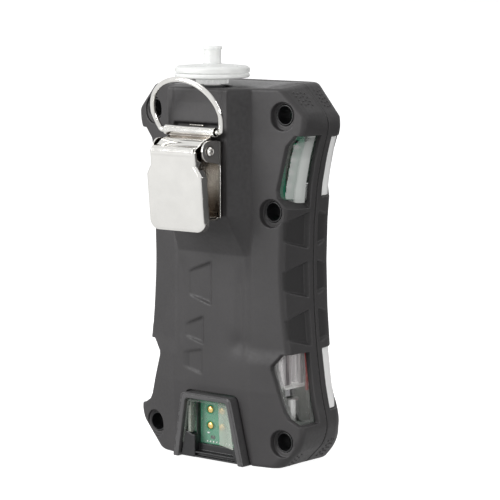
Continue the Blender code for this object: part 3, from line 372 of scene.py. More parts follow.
def lathe(name, profile, centre, axis, mat, seg=64, r=0.15, angle=35, wobble=None):
    prof = round_profile(profile, r)
    bm = bmesh.new()
    rings = []
    for rad, hgt in prof:
        if rad < 1e-6:
            rings.append([bm.verts.new((0, 0, hgt))])
        else:
            row = []
            for i in range(seg):
                a = 2 * pi * i / seg
                k = rad * (wobble(a, rad, hgt) if wobble else 1.0)
                row.append(bm.verts.new((k * cos(a), k * sin(a), hgt)))
            rings.append(row)
    pairs = list(zip(rings, rings[1:]))
    if len(rings[0]) > 1 and len(rings[-1]) > 1:
        if Vector(profile[0]) == Vector(profile[-1]):
            for i in range(seg):
                pass
            pairs = list(zip(rings[:-1], rings[1:-1] + [rings[0]]))
        else:
            pairs.append((rings[-1], rings[0]))
    for a, b in pairs:
        for i in range(seg):
            j = (i + 1) % seg
            if len(a) == 1 and len(b) == 1:
                break
            if len(a) == 1:
                bm.faces.new((a[0], b[i], b[j]))
            elif len(b) == 1:
                bm.faces.new((a[i], b[0], a[j]))
            else:
                bm.faces.new((a[i], b[i], b[j], a[j]))
    loose = [v for v in bm.verts if not v.link_faces]
    bmesh.ops.delete(bm, geom=loose, context="VERTS")
    m = Matrix.Scale(0.001, 4) @ Matrix.Translation(Vector(centre)) @ AX[axis]
    bmesh.ops.transform(bm, matrix=m, verts=bm.verts)
    return finish_bm(name, bm, mat, angle)


def sweep(name, pts, r, mat, cyclic=False, seg=20, radii=None):
    """A round wire along a 3D path (mm), carried by a turning-free frame."""
    P = [Vector(p) for p in pts]
    n = len(P)
    T = []
    for i in range(n):
        a = P[i - 1] if (cyclic or i > 0) else P[i]
        b = P[(i + 1) % n] if (cyclic or i < n - 1) else P[i]
        T.append((b - a).normalized())
    nrm = T[0].orthogonal().normalized()
    bm = bmesh.new()
    rows = []
    for i in range(n):
        nrm = (nrm - T[i] * nrm.dot(T[i])).normalized()
        bi = T[i].cross(nrm)
        rr = radii[i] if radii else r
        rows.append([bm.verts.new((P[i] + (nrm * cos(2 * pi * k / seg) + bi * sin(2 * pi * k / seg)) * rr) * 0.001) for k in range(seg)])
    if cyclic:
        # match the closing ring to the first by the nearest start point
        best = min(range(seg), key=lambda s: (rows[-1][s].co - rows[0][0].co).length)
        last = [rows[-1][(k + best) % seg] for k in range(seg)]
        for k in range(seg):
            j = (k + 1) % seg
            bm.faces.new((last[k], last[j], rows[0][j], rows[0][k]))
    for a, b in zip(rows, rows[1:]):
        for k in range(seg):
            j = (k + 1) % seg
            bm.faces.new((a[k], a[j], b[j], b[k]))
    if not cyclic:
        bm.faces.new(rows[0])
        bm.faces.new(rows[-1])
    return finish_bm(name, bm, mat, 50)


def blocks(name, items, mat, bevel=0.12):
    """Several bevelled blocks in one piece: (lo, hi) in mm."""
    bm = bmesh.new()
    for it in items:
        lo, hi = it[0], it[1]
        b = it[2] if len(it) > 2 else bevel
        g = bmesh.ops.create_cube(bm, size=1.0)
        for v in g["verts"]:
            v.co = Vector([(lo[i] if v.co[i] < 0 else hi[i]) * 0.001 for i in range(3)])
        es = list({e for v in g["verts"] for e in v.link_edges})
        b = min(b, 0.45 * min(abs(hi[i] - lo[i]) for i in range(3)))
        bmesh.ops.bevel(bm, geom=es, offset=b * 0.001, segments=2, profile=0.5, affect="EDGES", clamp_overlap=True)
    bmesh.ops.recalc_face_normals(bm, faces=bm.faces)
    me = bpy.data.meshes.new(name)
    bm.to_mesh(me)
    bm.free()
    me.shade_smooth()
    me.set_sharp_from_angle(angle=radians(30))
    me.materials.append(mat)
    ob = bpy.data.objects.new(name, me)
    bpy.context.scene.collection.objects.link(ob)
    return ob


def put(ob, body, slot=None, *nodes):
    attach(ob, body)
    if nodes:
        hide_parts(*nodes)
    return ob


# ---------------------------------------------------------------- materials
class Mat:
    def __init__(self, name):
        self.m = bpy.data.materials.new(name)
        self.m.use_nodes = True
        self.t = self.m.node_tree
        self.p = self.t.nodes["Principled BSDF"]
        self.co = self.t.nodes.new("ShaderNodeTexCoord").outputs["Object"]

    def node(self, kind, **kw):
        n = self.t.nodes.new(kind)
        for k, v in kw.items():
            if k in n.inputs:
                n.inputs[k].default_value = v
            else:
                setattr(n, k, v)
        return n

    def link(self, a, b):
        self.t.links.new(a, b)

    def noise(self, scale, detail=3.0, rough=0.55, co=None):
        n = self.node("ShaderNodeTexNoise")
        n.inputs["Scale"].default_value = scale
        n.inputs["Detail"].default_value = detail
        n.inputs["Roughness"].default_value = rough
        self.link(co or self.co, n.inputs["Vector"])
        return n.outputs["Fac"]

    def ramp(self, src, lo, hi, a=0.0, b=1.0):
        n = self.node("ShaderNodeMapRange")
        n.inputs["From Min"].default_value = lo
        n.inputs["From Max"].default_value = hi
        n.inputs["To Min"].default_value = a
        n.inputs["To Max"].default_value = b
        self.link(src, n.inputs["Value"])
        return n.outputs["Result"]

    def mix(self, fac, a, b):
        n = self.node("ShaderNodeMix", data_type="RGBA")
        if isinstance(fac, float):
            n.inputs[0].default_value = fac
        else:
            self.link(fac, n.inputs[0])
        for s, v in ((6, a), (7, b)):
            if isinstance(v, tuple):
                n.inputs[s].default_value = (*v, 1)
            else:
                self.link(v, n.inputs[s])
        return n.outputs[2]

    def math(self, op, a, b=None, clamp=False):
        n = self.node("ShaderNodeMath", operation=op, use_clamp=clamp)
        for i, v in enumerate((a, b)):
            if v is None:
                continue
            if isinstance(v, (int, float)):
                n.inputs[i].default_value = v
            else:
                self.link(v, n.inputs[i])
        return n.outputs[0]

    def bump(self, height, strength, dist):
        n = self.node("ShaderNodeBump")
        n.inputs["Strength"].default_value = strength
        n.inputs["Distance"].default_value = dist
        self.link(height, n.inputs["Height"])
        self.link(n.outputs["Normal"], self.p.inputs["Normal"])
        return n

    def scaled(self, s):
        n = self.node("ShaderNodeMapping")
        n.inputs["Scale"].default_value = s
        self.link(self.co, n.inputs["Vector"])
        return n.outputs["Vector"]


def rubber(name, col, rough=0.5, grain=1.0, specks_and_dent_shade=True):
    M = Mat(name)
    big = M.ramp(M.noise(60, 3), 0.35, 0.65)
    c = M.mix(big, tuple(v * 0.93 for v in col), tuple(v * 1.08 for v in col))
    geo = M.node("ShaderNodeNewGeometry").outputs["Pointiness"]
    edge = M.ramp(geo, 0.515, 0.60, 0.0, 0.35)
    c = M.mix(edge, c, tuple(min(1, v * 1.9 + 0.01) for v in col))
    if specks_and_dent_shade:
        # painted shade: the rubber turns darker inside the grip dents by the per-vertex 'recess' weight; the pale
        # specks below are dust
        hollow = M.node("ShaderNodeAttribute", attribute_name="recess")
        c = M.mix(M.math("MULTIPLY", hollow.outputs["Fac"], 0.95), c, tuple(v * 0.58 for v in col))
        v = M.node("ShaderNodeTexVoronoi", feature="F1")
        v.inputs["Scale"].default_value = 170
        M.link(M.co, v.inputs["Vector"])
        near = M.math("LESS_THAN", v.outputs["Distance"], 0.03)
        sep = M.node("ShaderNodeSeparateColor")
        M.link(v.outputs["Color"], sep.inputs[0])
        some = M.math("GREATER_THAN", sep.outputs[0], 0.93)
        c = M.mix(M.math("MULTIPLY", near, some), c, (0.32, 0.31, 0.30))
    M.link(c, M.p.inputs["Base Color"])
    M.link(M.ramp(M.noise(900, 2), 0.3, 0.7, rough - 0.05, rough + 0.08), M.p.inputs["Roughness"])
    M.p.inputs["Specular IOR Level"].default_value = 0.34
    fine = M.noise(5200, 2, 0.6)
    M.bump(fine, 0.12 * grain, 0.0001)
    return M.m


def plastic(name, col, rough=0.4, grain=0.5, spec=0.5):
    M = Mat(name)
    big = M.ramp(M.noise(90, 3), 0.35, 0.65)
    M.link(M.mix(big, tuple(v * 0.92 for v in col), tuple(min(1, v * 1.07) for v in col)), M.p.inputs["Base Color"])
    M.link(M.ramp(M.noise(1200, 2), 0.3, 0.7, rough - 0.05, rough + 0.06), M.p.inputs["Roughness"])
    M.p.inputs["Specular IOR Level"].default_value = spec
    M.bump(M.noise(4200, 2), 0.15 * grain, 0.0001)
    return M.m


def steel(name, col, rough=0.1, scratch=1.0, grain_axis=(900, 900, 40), occlusion_shade=False, shade=(0.12, 0.72), deep=(0.20, 0.16, 0.125)):
    M = Mat(name)
    smear = M.ramp(M.noise(130, 4), 0.35, 0.68)
    c = M.mix(smear, tuple(v * 0.94 for v in col), col)
    # painted shade: the colour runs to the dark 'deep' tone where ambient occlusion finds nearby parts
    if occlusion_shade:
        c = M.mix(M.ramp(occlusion(M, 0.012), *shade), deep, c)
    M.link(c, M.p.inputs["Base Color"])
    M.p.inputs["Metallic"].default_value = 1.0
    fine = M.noise(1.0, 3, 0.6, M.scaled(grain_axis))
    r1 = M.ramp(M.noise(210, 3), 0.35, 0.7, rough * 0.8, rough * 1.7)
    r2 = M.math("MULTIPLY", M.ramp(fine, 0.45, 0.7, 0.0, 0.05), scratch)
    M.link(M.math("ADD", r1, r2), M.p.inputs["Roughness"])
    M.bump(M.math("ADD", fine, M.math("MULTIPLY", M.noise(240, 2), 2.2)), 0.05 * scratch, 0.0002)
    return M.m


def occlusion(M, dist=0.004):
    n = M.node("ShaderNodeAmbientOcclusion", samples=6)
    n.inputs["Distance"].default_value = dist
    return n.outputs["AO"]


def pane_mat(name, face, flank, alpha, alpha_flank, rough, glow=0.0, edge=(0.55, 0.85)):
    """Clear where it is looked into; where its flank faces along X it is lighter and more opaque, a painted reflection
    of the glare seen on it edge on.
    """
    M = Mat(name)
    sx = M.node("ShaderNodeSeparateXYZ")
    M.link(M.node("ShaderNodeNewGeometry").outputs["Normal"], sx.inputs[0])
    side = M.ramp(M.math("ABSOLUTE", sx.outputs[0]), *edge)
    M.link(M.mix(side, face, M.mix(M.ramp(M.noise(90, 2), 0.3, 0.7), tuple(v * 0.9 for v in flank), flank)), M.p.inputs["Base Color"])
    M.link(M.ramp(side, 0.0, 1.0, alpha, alpha_flank), M.p.inputs["Alpha"])
    # painted glow on the flank; the pane is no lamp
    if glow:
        M.p.inputs["Emission Color"].default_value = (1, 1, 1, 1)
        M.link(M.ramp(side, 0.0, 1.0, 0.0, glow), M.p.inputs["Emission Strength"])
    M.link(M.ramp(M.noise(320, 3), 0.3, 0.7, rough * 0.8, rough * 1.3), M.p.inputs["Roughness"])
    M.p.inputs["Specular IOR Level"].default_value = 0.5
    return M.m


def clear(name, col, alpha, rough, tint=None):
    M = Mat(name)
    M.link(M.mix(M.ramp(M.noise(150, 3), 0.3, 0.7), tuple(v * 0.93 for v in col), col), M.p.inputs["Base Color"])
    M.link(M.ramp(M.noise(320, 3), 0.3, 0.7, rough * 0.7, rough * 1.4), M.p.inputs["Roughness"])
    M.link(M.ramp(M.noise(110, 3), 0.3, 0.7, alpha * 0.85, min(1, alpha * 1.15)), M.p.inputs["Alpha"])
    M.p.inputs["Specular IOR Level"].default_value = 0.6
    M.p.inputs["Coat Weight"].default_value = 0.5
    M.p.inputs["Coat Roughness"].default_value = 0.03
    return M.m


def milky(name, col):
    M = Mat(name)
    M.link(M.mix(M.ramp(M.noise(120, 3), 0.3, 0.7), tuple(v * 0.96 for v in col), col), M.p.inputs["Base Color"])
    M.link(M.ramp(M.noise(500, 3), 0.3, 0.7, 0.26, 0.36), M.p.inputs["Roughness"])
    M.p.inputs["Emission Color"].default_value = (1, 1, 0.99, 1)
    # painted glow, strongest where the white plastic faces the view; it is no lamp
    lw = M.node("ShaderNodeLayerWeight")
    M.link(M.ramp(lw.outputs["Facing"], 0.30, 0.95, 0.31, 0.10), M.p.inputs["Emission Strength"])
    M.p.inputs["Subsurface Weight"].default_value = 0.55
    M.p.inputs["Subsurface Radius"].default_value = (1.0, 1.0, 0.95)
    M.p.inputs["Subsurface Scale"].default_value = 0.003
    M.bump(M.noise(1500, 2), 0.05, 0.0001)
    return M.m


def board(name):
    """Green solder mask over a fine network of tracks, with small vias."""
    M = Mat(name)
    b = M.node("ShaderNodeTexBrick")
    b.inputs["Scale"].default_value = 520
    b.inputs["Color1"].default_value = (0.015, 0.17, 0.085, 1)
    b.inputs["Color2"].default_value = (0.022, 0.21, 0.11, 1)
    b.inputs["Mortar"].default_value = (0.04, 0.30, 0.16, 1)
    b.inputs["Mortar Size"].default_value = 0.03
    b.inputs["Brick Width"].default_value = 1.1
    rot = M.node("ShaderNodeMapping")
    rot.inputs["Rotation"].default_value = (pi / 2, 0, 0)
    M.link(M.co, rot.inputs["Vector"])
    M.link(rot.outputs["Vector"], b.inputs["Vector"])
    v = M.node("ShaderNodeTexVoronoi", feature="F1")
    v.inputs["Scale"].default_value = 420
    M.link(M.co, v.inputs["Vector"])
    via = M.math("LESS_THAN", v.outputs["Distance"], 0.11)
    c = M.mix(via, b.outputs["Color"], (0.34, 0.36, 0.24))
    c = M.mix(M.ramp(M.noise(140, 3), 0.35, 0.7), c, (0.02, 0.24, 0.13))
    M.link(c, M.p.inputs["Base Color"])
    M.p.inputs["Roughness"].default_value = 0.32
    M.bump(b.outputs["Fac"], 0.1, 0.0001)
    return M.m


RUBBER = rubber("overmould_rubber_fine", (0.0445, 0.0425, 0.0435))
RUBBER_KEY = rubber("key_rubber_fine", (0.032, 0.031, 0.032), 0.45, specks_and_dent_shade=False)
BLACK = plastic("black_plastic_fine", (0.009, 0.009, 0.010), 0.38)
SEAL = rubber("black_seal_fine", (0.010, 0.010, 0.010), 0.6, specks_and_dent_shade=False)
GREY = plastic("grey_plastic_fine", (0.085, 0.083, 0.085), 0.32)
# the inlet plate is a lighter grey than the rubber, raised further as painted light standing in for light from above
PLATE_GREY = rubber("inlet_plate_fine", (0.13, 0.128, 0.13), 0.42, specks_and_dent_shade=False)
CLEAR = clear("clear_polycarbonate_fine", (0.42, 0.44, 0.42), 0.22, 0.10)
PANE = pane_mat("window_pane_fine", (0.50, 0.51, 0.50), (0.66, 0.69, 0.66), 0.20, 0.74, 0.09, 0.14, (0.90, 0.975))
PANE_LOW = pane_mat("lower_pane_fine", (0.50, 0.50, 0.49), (0.50, 0.50, 0.49), 0.08, 0.16, 0.09, 0.0, (0.90, 0.975))
CLEAR_FRONT = pane_mat("corner_pane_fine", (0.62, 0.63, 0.62), (0.95, 0.95, 0.94), 0.6, 0.97, 0.12, 0.12)
CLEAR_DOCK = clear("dock_cover_fine", (0.50, 0.56, 0.50), 0.14, 0.08)
PALE = clear("dock_slope_fine", (0.74, 0.78, 0.70), 0.36, 0.12)
# both clip steels carry painted occlusion shade; on the base plate it is stronger and browner, for the shade between it
# and the lever
STEEL = steel("polished_steel_fine", (0.86, 0.85, 0.82), 0.09, occlusion_shade=True)
STEEL_BASE = steel("clip_base_steel_fine", (0.86, 0.85, 0.82), 0.09, occlusion_shade=True, shade=(0.42, 0.96), deep=(0.13, 0.10, 0.075))
PLATED = steel("plated_steel_fine", (0.42, 0.42, 0.43), 0.28)
WHITE = milky("translucent_white_fine", (0.56, 0.57, 0.56))
BOARD = board("circuit_board_fine")
GOLD = steel("gold_plate_fine", (0.92, 0.66, 0.24), 0.2)
WRAP = plastic("battery_wrap_fine", (0.55, 0.54, 0.55), 0.3, 0.4)
wm = WRAP.node_tree
st = Mat.__new__(Mat)
st.m, st.t, st.p = WRAP, wm, wm.nodes["Principled BSDF"]
st.co = wm.nodes.new("ShaderNodeTexCoord").outputs["Object"]
# painted highlights: the light vertical streaks on the wrap; its emission is a painted glow for light coming in through
# the windows
painted_highlight_streak = st.ramp(st.noise(1.0, 3, 0.6, st.scaled((420, 420, 26))), 0.35, 0.65)
st.link(st.mix(painted_highlight_streak, (0.20, 0.19, 0.20), (0.78, 0.76, 0.77)), st.p.inputs["Base Color"])
st.link(st.mix(painted_highlight_streak, (0.02, 0.02, 0.02), (0.20, 0.19, 0.19)), st.p.inputs["Emission Color"])
st.p.inputs["Emission Strength"].default_value = 1.0
RED = plastic("red_wire_fine", (0.55, 0.03, 0.03), 0.35)
WIRE_BLACK = plastic("black_wire_fine", (0.015, 0.015, 0.015), 0.35)
CAN = steel("sensor_can_fine", (0.62, 0.62, 0.61), 0.3)
GLASS = clear("display_glass_fine", (0.02, 0.022, 0.026), 0.55, 0.05)
LCD = plastic("lcd_face_fine", (0.30, 0.36, 0.29), 0.25, 0.2)
TUBE = milky("silicone_tube_fine", (0.55, 0.55, 0.53))
CHIP_WHITE = plastic("ceramic_part", (0.80, 0.80, 0.78), 0.4)
# painted glow on the white parts, board, red wire and LCD face, so they show up inside the shaded case
for mat_, painted_glow in ((CHIP_WHITE, (0.16, 0.16, 0.155)), (BOARD, (0.012, 0.075, 0.045)), (RED, (0.10, 0.004, 0.004)), (LCD, (0.05, 0.062, 0.048))):
    mat_.node_tree.nodes["Principled BSDF"].inputs["Emission Color"].default_value = (*painted_glow, 1)
    mat_.node_tree.nodes["Principled BSDF"].inputs["Emission Strength"].default_value = 1.0
TRAY = plastic("tray_part", (0.46, 0.46, 0.42), 0.4)
CHIP_BLACK = plastic("chip_part", (0.02, 0.02, 0.022), 0.35)
TIN = steel("solder_part", (0.75, 0.75, 0.74), 0.25)


# ---------------------------------------------------------------- body fields
def tab(v, rows):
    a = np.array(rows, float)
    return np.interp(v, a[:, 0], a[:, 1])


STEP2 = 0.25
SIDE = Map2(lambda u, z: poly(u, z, [(b, a) for a, b in OUTLINE] + [(-20, 145), (-20, -12)]),
            (-1.0, -6.0), (42.0, 138.0), STEP2, 0.8)
LEANZ = Map2(lambda a, z: tab(z, LEAN) + 0 * a, (0.0, -6.0), (1.0, 138.0), STEP2, 1.2)


def spine(z):
    return REAR_Y - 1.5 * np.maximum(0.0, (26.5 - z) / 26.5)


def ramp01(v, a, b):
    t = np.clip((v - a) / (b - a), 0, 1)
    return t * t * (3 - 2 * t)


def rear_plain(x, z, fine=True):
    u = np.abs(x)
    step = 0.8 * ramp01(z, 35.5, 42.0) if fine else 0.8 * np.clip((z - 20) / 10, 0, 1)
    sl = spine(z) - step - 0.2 * (u - PAD_FOOT)
    b = np.clip((z - 73.0) / 14.0, 0, 1)
    px = 15.0 + (PAD_HALF - 15.0) * b
    top = spine(z) + (PAD_Y - REAR_Y) * b
    foot = spine(z) - step
    t = np.clip((u - px) / (PAD_FOOT - px), 0, 1)
    mid = top + (foot - top) * t
    return np.where(u > PAD_FOOT, sl, mid)


def dent(x, z, xe, xv, xf, ze, zf, depth, soft=1.1):
    """A ramp from xf that deepens to xv and ends in a steep wall at xe."""
    t = (x - xv) / (xf - xv)
    along = np.where(t >= 0, 1 - np.clip(t, 0, 1) ** 2.4, 1 - np.clip((xv - x) / (xv - xe), 0, 1))
    k = np.clip((x - xe) / (xf - xe), 0, 1)
    lo = ze[0] + (zf[0] - ze[0]) * k
    hi = ze[1] + (zf[1] - ze[1]) * k
    return depth * along * np.clip(np.minimum(z - lo, hi - z) / soft, 0, 1)


def rear_fine(x, z):
    y = rear_plain(x, z)
    y = y - dent(x, z, -0.5, 0.9, 10.6, (54.4, 70.2), (57.4, 66.0), 0.95, 0.7)
    y = y - dent(x, z, 3.2, 4.4, 12.2, (40.4, 50.8), (42.6, 47.2), 0.8, 0.7)
    y = y - dent(x, z, 3.6, 5.2, 13.2, (29.6, 39.2), (31.8, 37.4), 0.45, 0.8)
    # shallow hollow beside the right edge of the spine, running into a rounded foot
    hx = np.exp(-((x + 13.2) / 2.6) ** 2) * ramp01(z, 38, 44) * (1 - ramp01(z, 62, 71))
    foot = np.exp(-((x + 11.8) / 4.2) ** 2 - ((z - 41.5) / 3.6) ** 2)
    y = y - 0.62 * hx - 0.6 * foot
    y = y - 0.30 * np.exp(-((x - 13.0) / 2.0) ** 2) * ramp01(z, 38, 46) * (1 - ramp01(z, 66, 72))
    # scoop behind the ring, tongue channel and slot
    deep = 0.5 * np.clip((z - 119.0) / 6.0, 0, 1) * ramp01(11.6 - np.abs(x), 0.0, 1.6)
    y = np.minimum(y, 22.9 - deep)
    y = np.where((np.abs(x) < 3.7) & (z > 103) & (z < 118.0), np.minimum(y, 21.9), y)
    y = np.where((np.abs(x) < 10.4) & (z > 115.8) & (z < 118.0), np.minimum(y, 21.2), y)
    return y


REAR = Map2(rear_fine, (-40.0, -4.0), (40.0, 136.0), STEP2, 0.26)
REAR0 = Map2(lambda x, z: rear_plain(x, z, False), (-40.0, -4.0), (40.0, 136.0), STEP2, 0.33)


def crown_z(y, z):
    t = np.clip((14.0 - y) / 16.5, 0, 1)
    s = np.clip((z - 112.0) / 18.0, 0, 1)
    return CROWN * t * s


def ends(d, u, y, z, r=1.0):
    zc = z - crown_z(y, z)
    wide = np.clip((y + 1.0) / 9.0, 0, 1)
    d = rmax(d, (u - 1.6 * wide + zc - 156.9) * 0.7071, 1.5)
    d = rmax(d, (u - 0.4 * wide - z - 27.2) * 0.7071, 3.0)
    d = rmax(d, zc - 130.0, r)
    return rmax(d, -z, r * 1.3)


def side_dents(y, z, ylo, yhi, z0, z1, taper, depth):
    """Ramp from the far side down to a steep wall near the seam."""
    out = 0
    for a, b in ((75.2, 88.2), (58.4, 71.2), (41.8, 54.6)):
        t = (y - ylo) / (yhi - ylo)
        wall = np.clip(t / 0.12, 0, 1)
        along = wall * np.clip((1 - t) / 0.85, 0, 1) ** 0.45
        lo, hi = a + z0 + taper * np.clip(t, 0, 1), b + z1 - taper * np.clip(t, 0, 1)
        out = out + depth * along * np.clip(np.minimum(z - lo, hi - z) / 0.55, 0, 1)
    return out


DENT_R = Map2(lambda y, z: side_dents(y, z, -0.3, 12.2, 0, 0, 3.0, 1.3), (-4.0, 30.0), (24.0, 100.0), 0.2, 0.18)
DENT_F = Map2(lambda y, z: side_dents(-y, z, 4.6, 10.0, 0.6, -0.2, 1.4, 1.2), (-16.0, 30.0), (4.0, 100.0), 0.2, 0.22)


def rear_side(u, y, z):
    ln = LEANZ(0.5, z)
    f = 0.25 * np.clip((y + 2.05) / 4.55, 0, 1) + 0.75 * np.clip((y - 2.5) / 8.5, 0, 1.2)
    return SIDE(u, z) + ln * f


def rear_outer(x, y, z, fine=True):
    u = np.abs(x)
    side = rear_side(u, y, z)
    if fine:
        side = side + DENT_R(y, z)
    H = (REAR if fine else REAR0)
    hy = H(x, z)
    e = 0.3
    gx = (H(x + e, z) - H(x - e, z)) / (2 * e)
    gz = (H(x, z + e) - H(x, z - e)) / (2 * e)
    rear = (y - hy) / np.sqrt(1 + np.minimum(gx * gx + gz * gz, 9.0))
    d = rmax(side, rear, 1.9)
    return ends(d, u, y, z)


def rear_core(x, y, z):
    return rear_outer(x, y, z, False)


def front_outer(x, y, z, fine=True):
    u = np.abs(x)
    side = SIDE(u, z) + 0.9 * np.clip((-3.5 - y) / 8.0, 0, 1)
    if fine:
        side = side + DENT_F(y, z)
    face = (FRONT_Y - y)
    face = rmax(face, (FRONT_Y + 0.5 - y + (u - 27) * 0.12), 1.0)
    side = rmax(side, (u + 1.2 * np.clip((-3.5 - y) / 8.0, 0, 1) + z - crown_z(y, z) - 156.9) * 0.7071, 1.5)
    d = rmax(side, face, 6.0)
    return ends(d, u, y, z)


def wells(d, x, y, z, rear=True):
    for sx in (1, -1):
        for wx, wz in SCREWS:
            cx = sx * wx
            y0 = float(REAR0(np.array([cx], f32), np.array([wz], f32))[0])
            # lengthen the recess downwards
            dz = z - wz
            dz = np.where(dz < 0, np.minimum(dz + 0.9, 0), dz)
            rr = np.sqrt((x - cx) ** 2 + dz ** 2)
            ring = np.sqrt((x - cx) ** 2 + (z - wz) ** 2)
            rec = rmax(rr - 4.35, (y0 - 1.5) - y, 0.3)
            d = sub(d, rec, 0.3)
            d = sub(d, np.maximum(ring - 3.62, 3.0 - y), 0.12)
    return d


def dock_pts(top, half_top, half_bottom, r=2.2, bottom=-3.0):
    k = (half_bottom - half_top) / top
    hb = half_bottom - k * bottom
    return [(hb, bottom), (half_top, top), (-half_top, top), (-hb, bottom)]


def rear_overmould(x, y, z):
    d = rear_outer(x, y, z)
    d = rmax(d, (PART_Y + GAP) - y, 0.28)
    u = np.abs(x)
    near = 99.0
    for wx, wz in SCREWS:
        near = np.minimum(near, np.sqrt((u - wx) ** 2 + (z - wz) ** 2))
    d = np.maximum(d, -(rear_core(x, y, z) + 2.15 + 1.3 * np.clip(5.8 - near, 0, 1)))
    for up in (True, False):
        w = rmax(rpoly(u, z, WIN_REAR[up], 0.8), FOOT[up] - y, 0.4)
        d = sub(d, w, 0.3)
    d = sub(d, rmax(rpoly(x, z, dock_pts(23.9, 11.55, 16.5), 1.9), 5 - y, 0), 0.3)
    d = wells(d, x, y, z)
    # top opening for the inlet plate and its socket
    o = rmax(slab(x, -21.5, 21.5), y - 11.7, 0.8)
    o = np.minimum(o, np.sqrt(x * x + (y - FILT_Y) ** 2) - 6.85)
    d = sub(d, np.maximum(o, 126.5 - z), 0.35)
    # hole for the clip screw
    d = sub(d, np.maximum(np.sqrt(x * x + (z - 97.0) ** 2) - 1.8, 21.0 - y), 0.2)
    return d


BUTTONS = [("up_button", -13.5), ("power_button", 0.0), ("down_button", 13.5)]


def front_overmould(x, y, z):
    d = front_outer(x, y, z)
    # cut at the parting plane and hollowed, then opened for the windows, the display, the keys, three slots, a round
    # hole and the top plate
    d = rmax(d, y - (PART_Y - GAP), 0.28)
    d = np.maximum(d, -(front_outer(x, y, z, False) + 2.15))
    u = np.abs(x)
    for up in (True, False):
        d = sub(d, rmax(rpoly(u, z, WIN_FRONT[up], 0.8), y + 5.6, 0.4), 0.3)
    d = sub(d, np.maximum(rmax(slab(x, -21, 21), slab(z, 58, 96), 1.6), y + 12), 0.45)
    for _, bx in BUTTONS:
        d = sub(d, np.maximum(np.sqrt((x - bx) ** 2 + (z - 45.0) ** 2) - 5.1, y + 12), 0.4)
    for i in (-1, 0, 1):
        d = sub(d, np.maximum(rmax(slab(x, -6.5, 6.5), slab(z, 26 + i * 3.2 - 0.6, 26 + i * 3.2 + 0.6), 0.5), y + 12), 0.3)
    d = sub(d, np.maximum(np.sqrt(x * x + (z - 107.0) ** 2) - 2.6, y + 12), 0.35)
    o = rmax(slab(x, -21.5, 21.5), -9.5 - y, 0.8)
    return sub(d, np.maximum(o, 126.5 - z), 0.35)


HB = 0.4
ov = shape("rear_overmould_skin", rear_overmould, (-39, -3.2, -1), (39, 24, 132.5), HB, RUBBER, 190000)
put(ov, "housing", "overmould_rubber", "rear_overmould")
fo = shape("front_overmould_skin", front_overmould, (-38, -17, -1), (38, -1.6, 132.8), HB, RUBBER, 150000)
put(fo, "housing", "overmould_rubber", "front_overmould")


def keep_dent_shade(ob, fn):
    """Keep at each vertex a 0-1 weight for lying in a grip dent, by which the rubber is darkened as painted shade."""
    me = ob.data
    co = np.empty(len(me.vertices) * 3)
    me.vertices.foreach_get("co", co)
    x, y, z = co.reshape(-1, 3).T * 1000.0
    at = me.attributes.new("recess", "FLOAT", "POINT")
    at.data.foreach_set("value", np.clip(fn(x, y, z), 0, 1).astype(np.float32))


# weight of the painted shade in the grip dents on the back and sides of the rear half
def rear_dent_shade(x, y, z):
    back = dent(x, z, -0.5, 0.9, 10.6, (54.4, 70.2), (57.4, 66.0), 2.2, 0.5) + dent(x, z, 3.2, 4.4, 12.2, (40.4, 50.8), (42.6, 47.2), 2.2, 0.5) + \
        dent(x, z, 3.6, 5.2, 13.2, (29.6, 39.2), (31.8, 37.4), 1.1, 0.8)
    side = side_dents(y, z, -0.3, 12.2, 0, 0, 3.0, 1.8)
    return np.where(y > 15.5, back, np.where(np.abs(x) > 22.0, side, 0.0))


keep_dent_shade(ov, rear_dent_shade)
keep_dent_shade(fo, lambda x, y, z: np.where(np.abs(x) > 22.0, side_dents(-y, z, 4.6, 10.0, 0.6, -0.2, 1.4, 1.6), 0.0))


# sleeves of the screw wells, each with a thin rim
k = 0
for s_ in (1, -1):
    for wx, wz in SCREWS:
        k += 1
        y0 = float(REAR0(np.array([s_ * wx], f32), np.array([wz], f32))[0])
        sl = lathe("well_sleeve_%d" % k, [(3.02, 4.6), (3.02, y0 - 1.5), (3.1, y0 - 1.38), (3.4, y0 - 1.38), (3.52, y0 - 1.5), (3.52, 4.6), (3.02, 4.6)],
                   (s_ * wx, 0, wz), "Y", BLACK, 64, 0.08)
        put(sl, "housing", "clear_polycarbonate")


# clear case, in two shells, with raised panes in the windows
def rear_shell(x, y, z):
    c = rear_core(x, y, z)
    d = rmax(c + 2.3, -(c + 4.1), 0.1)
    d = rmax(d, (PART_Y + GAP) - y, 0.2)
    u = np.abs(x)
    for sx, sz in SCREWS:
        ring = np.sqrt((u - sx) ** 2 + (z - sz) ** 2)
        boss = np.maximum(np.maximum(ring - 4.4, c + 2.3), (PART_Y + GAP) - y)
        d = np.minimum(d, boss)
        d = np.maximum(d, -np.maximum(ring - 3.58, 2.0 - y))
        d = np.maximum(d, -(ring - 1.9))
    d = np.maximum(d, -np.maximum(rpoly(x, z, dock_pts(23.9, 11.6, 16.6), 1.0), 9 - y))
    for up in (True, False):       # the panes fill the windows
        d = np.maximum(d, -np.maximum(poly(u, z, WIN_REAR[up]) - 0.2, FOOT[up] - y))
    d = np.maximum(d, -np.maximum(np.sqrt(x * x + (y - FILT_Y) ** 2) - 4.3, 118 - z))
    return d


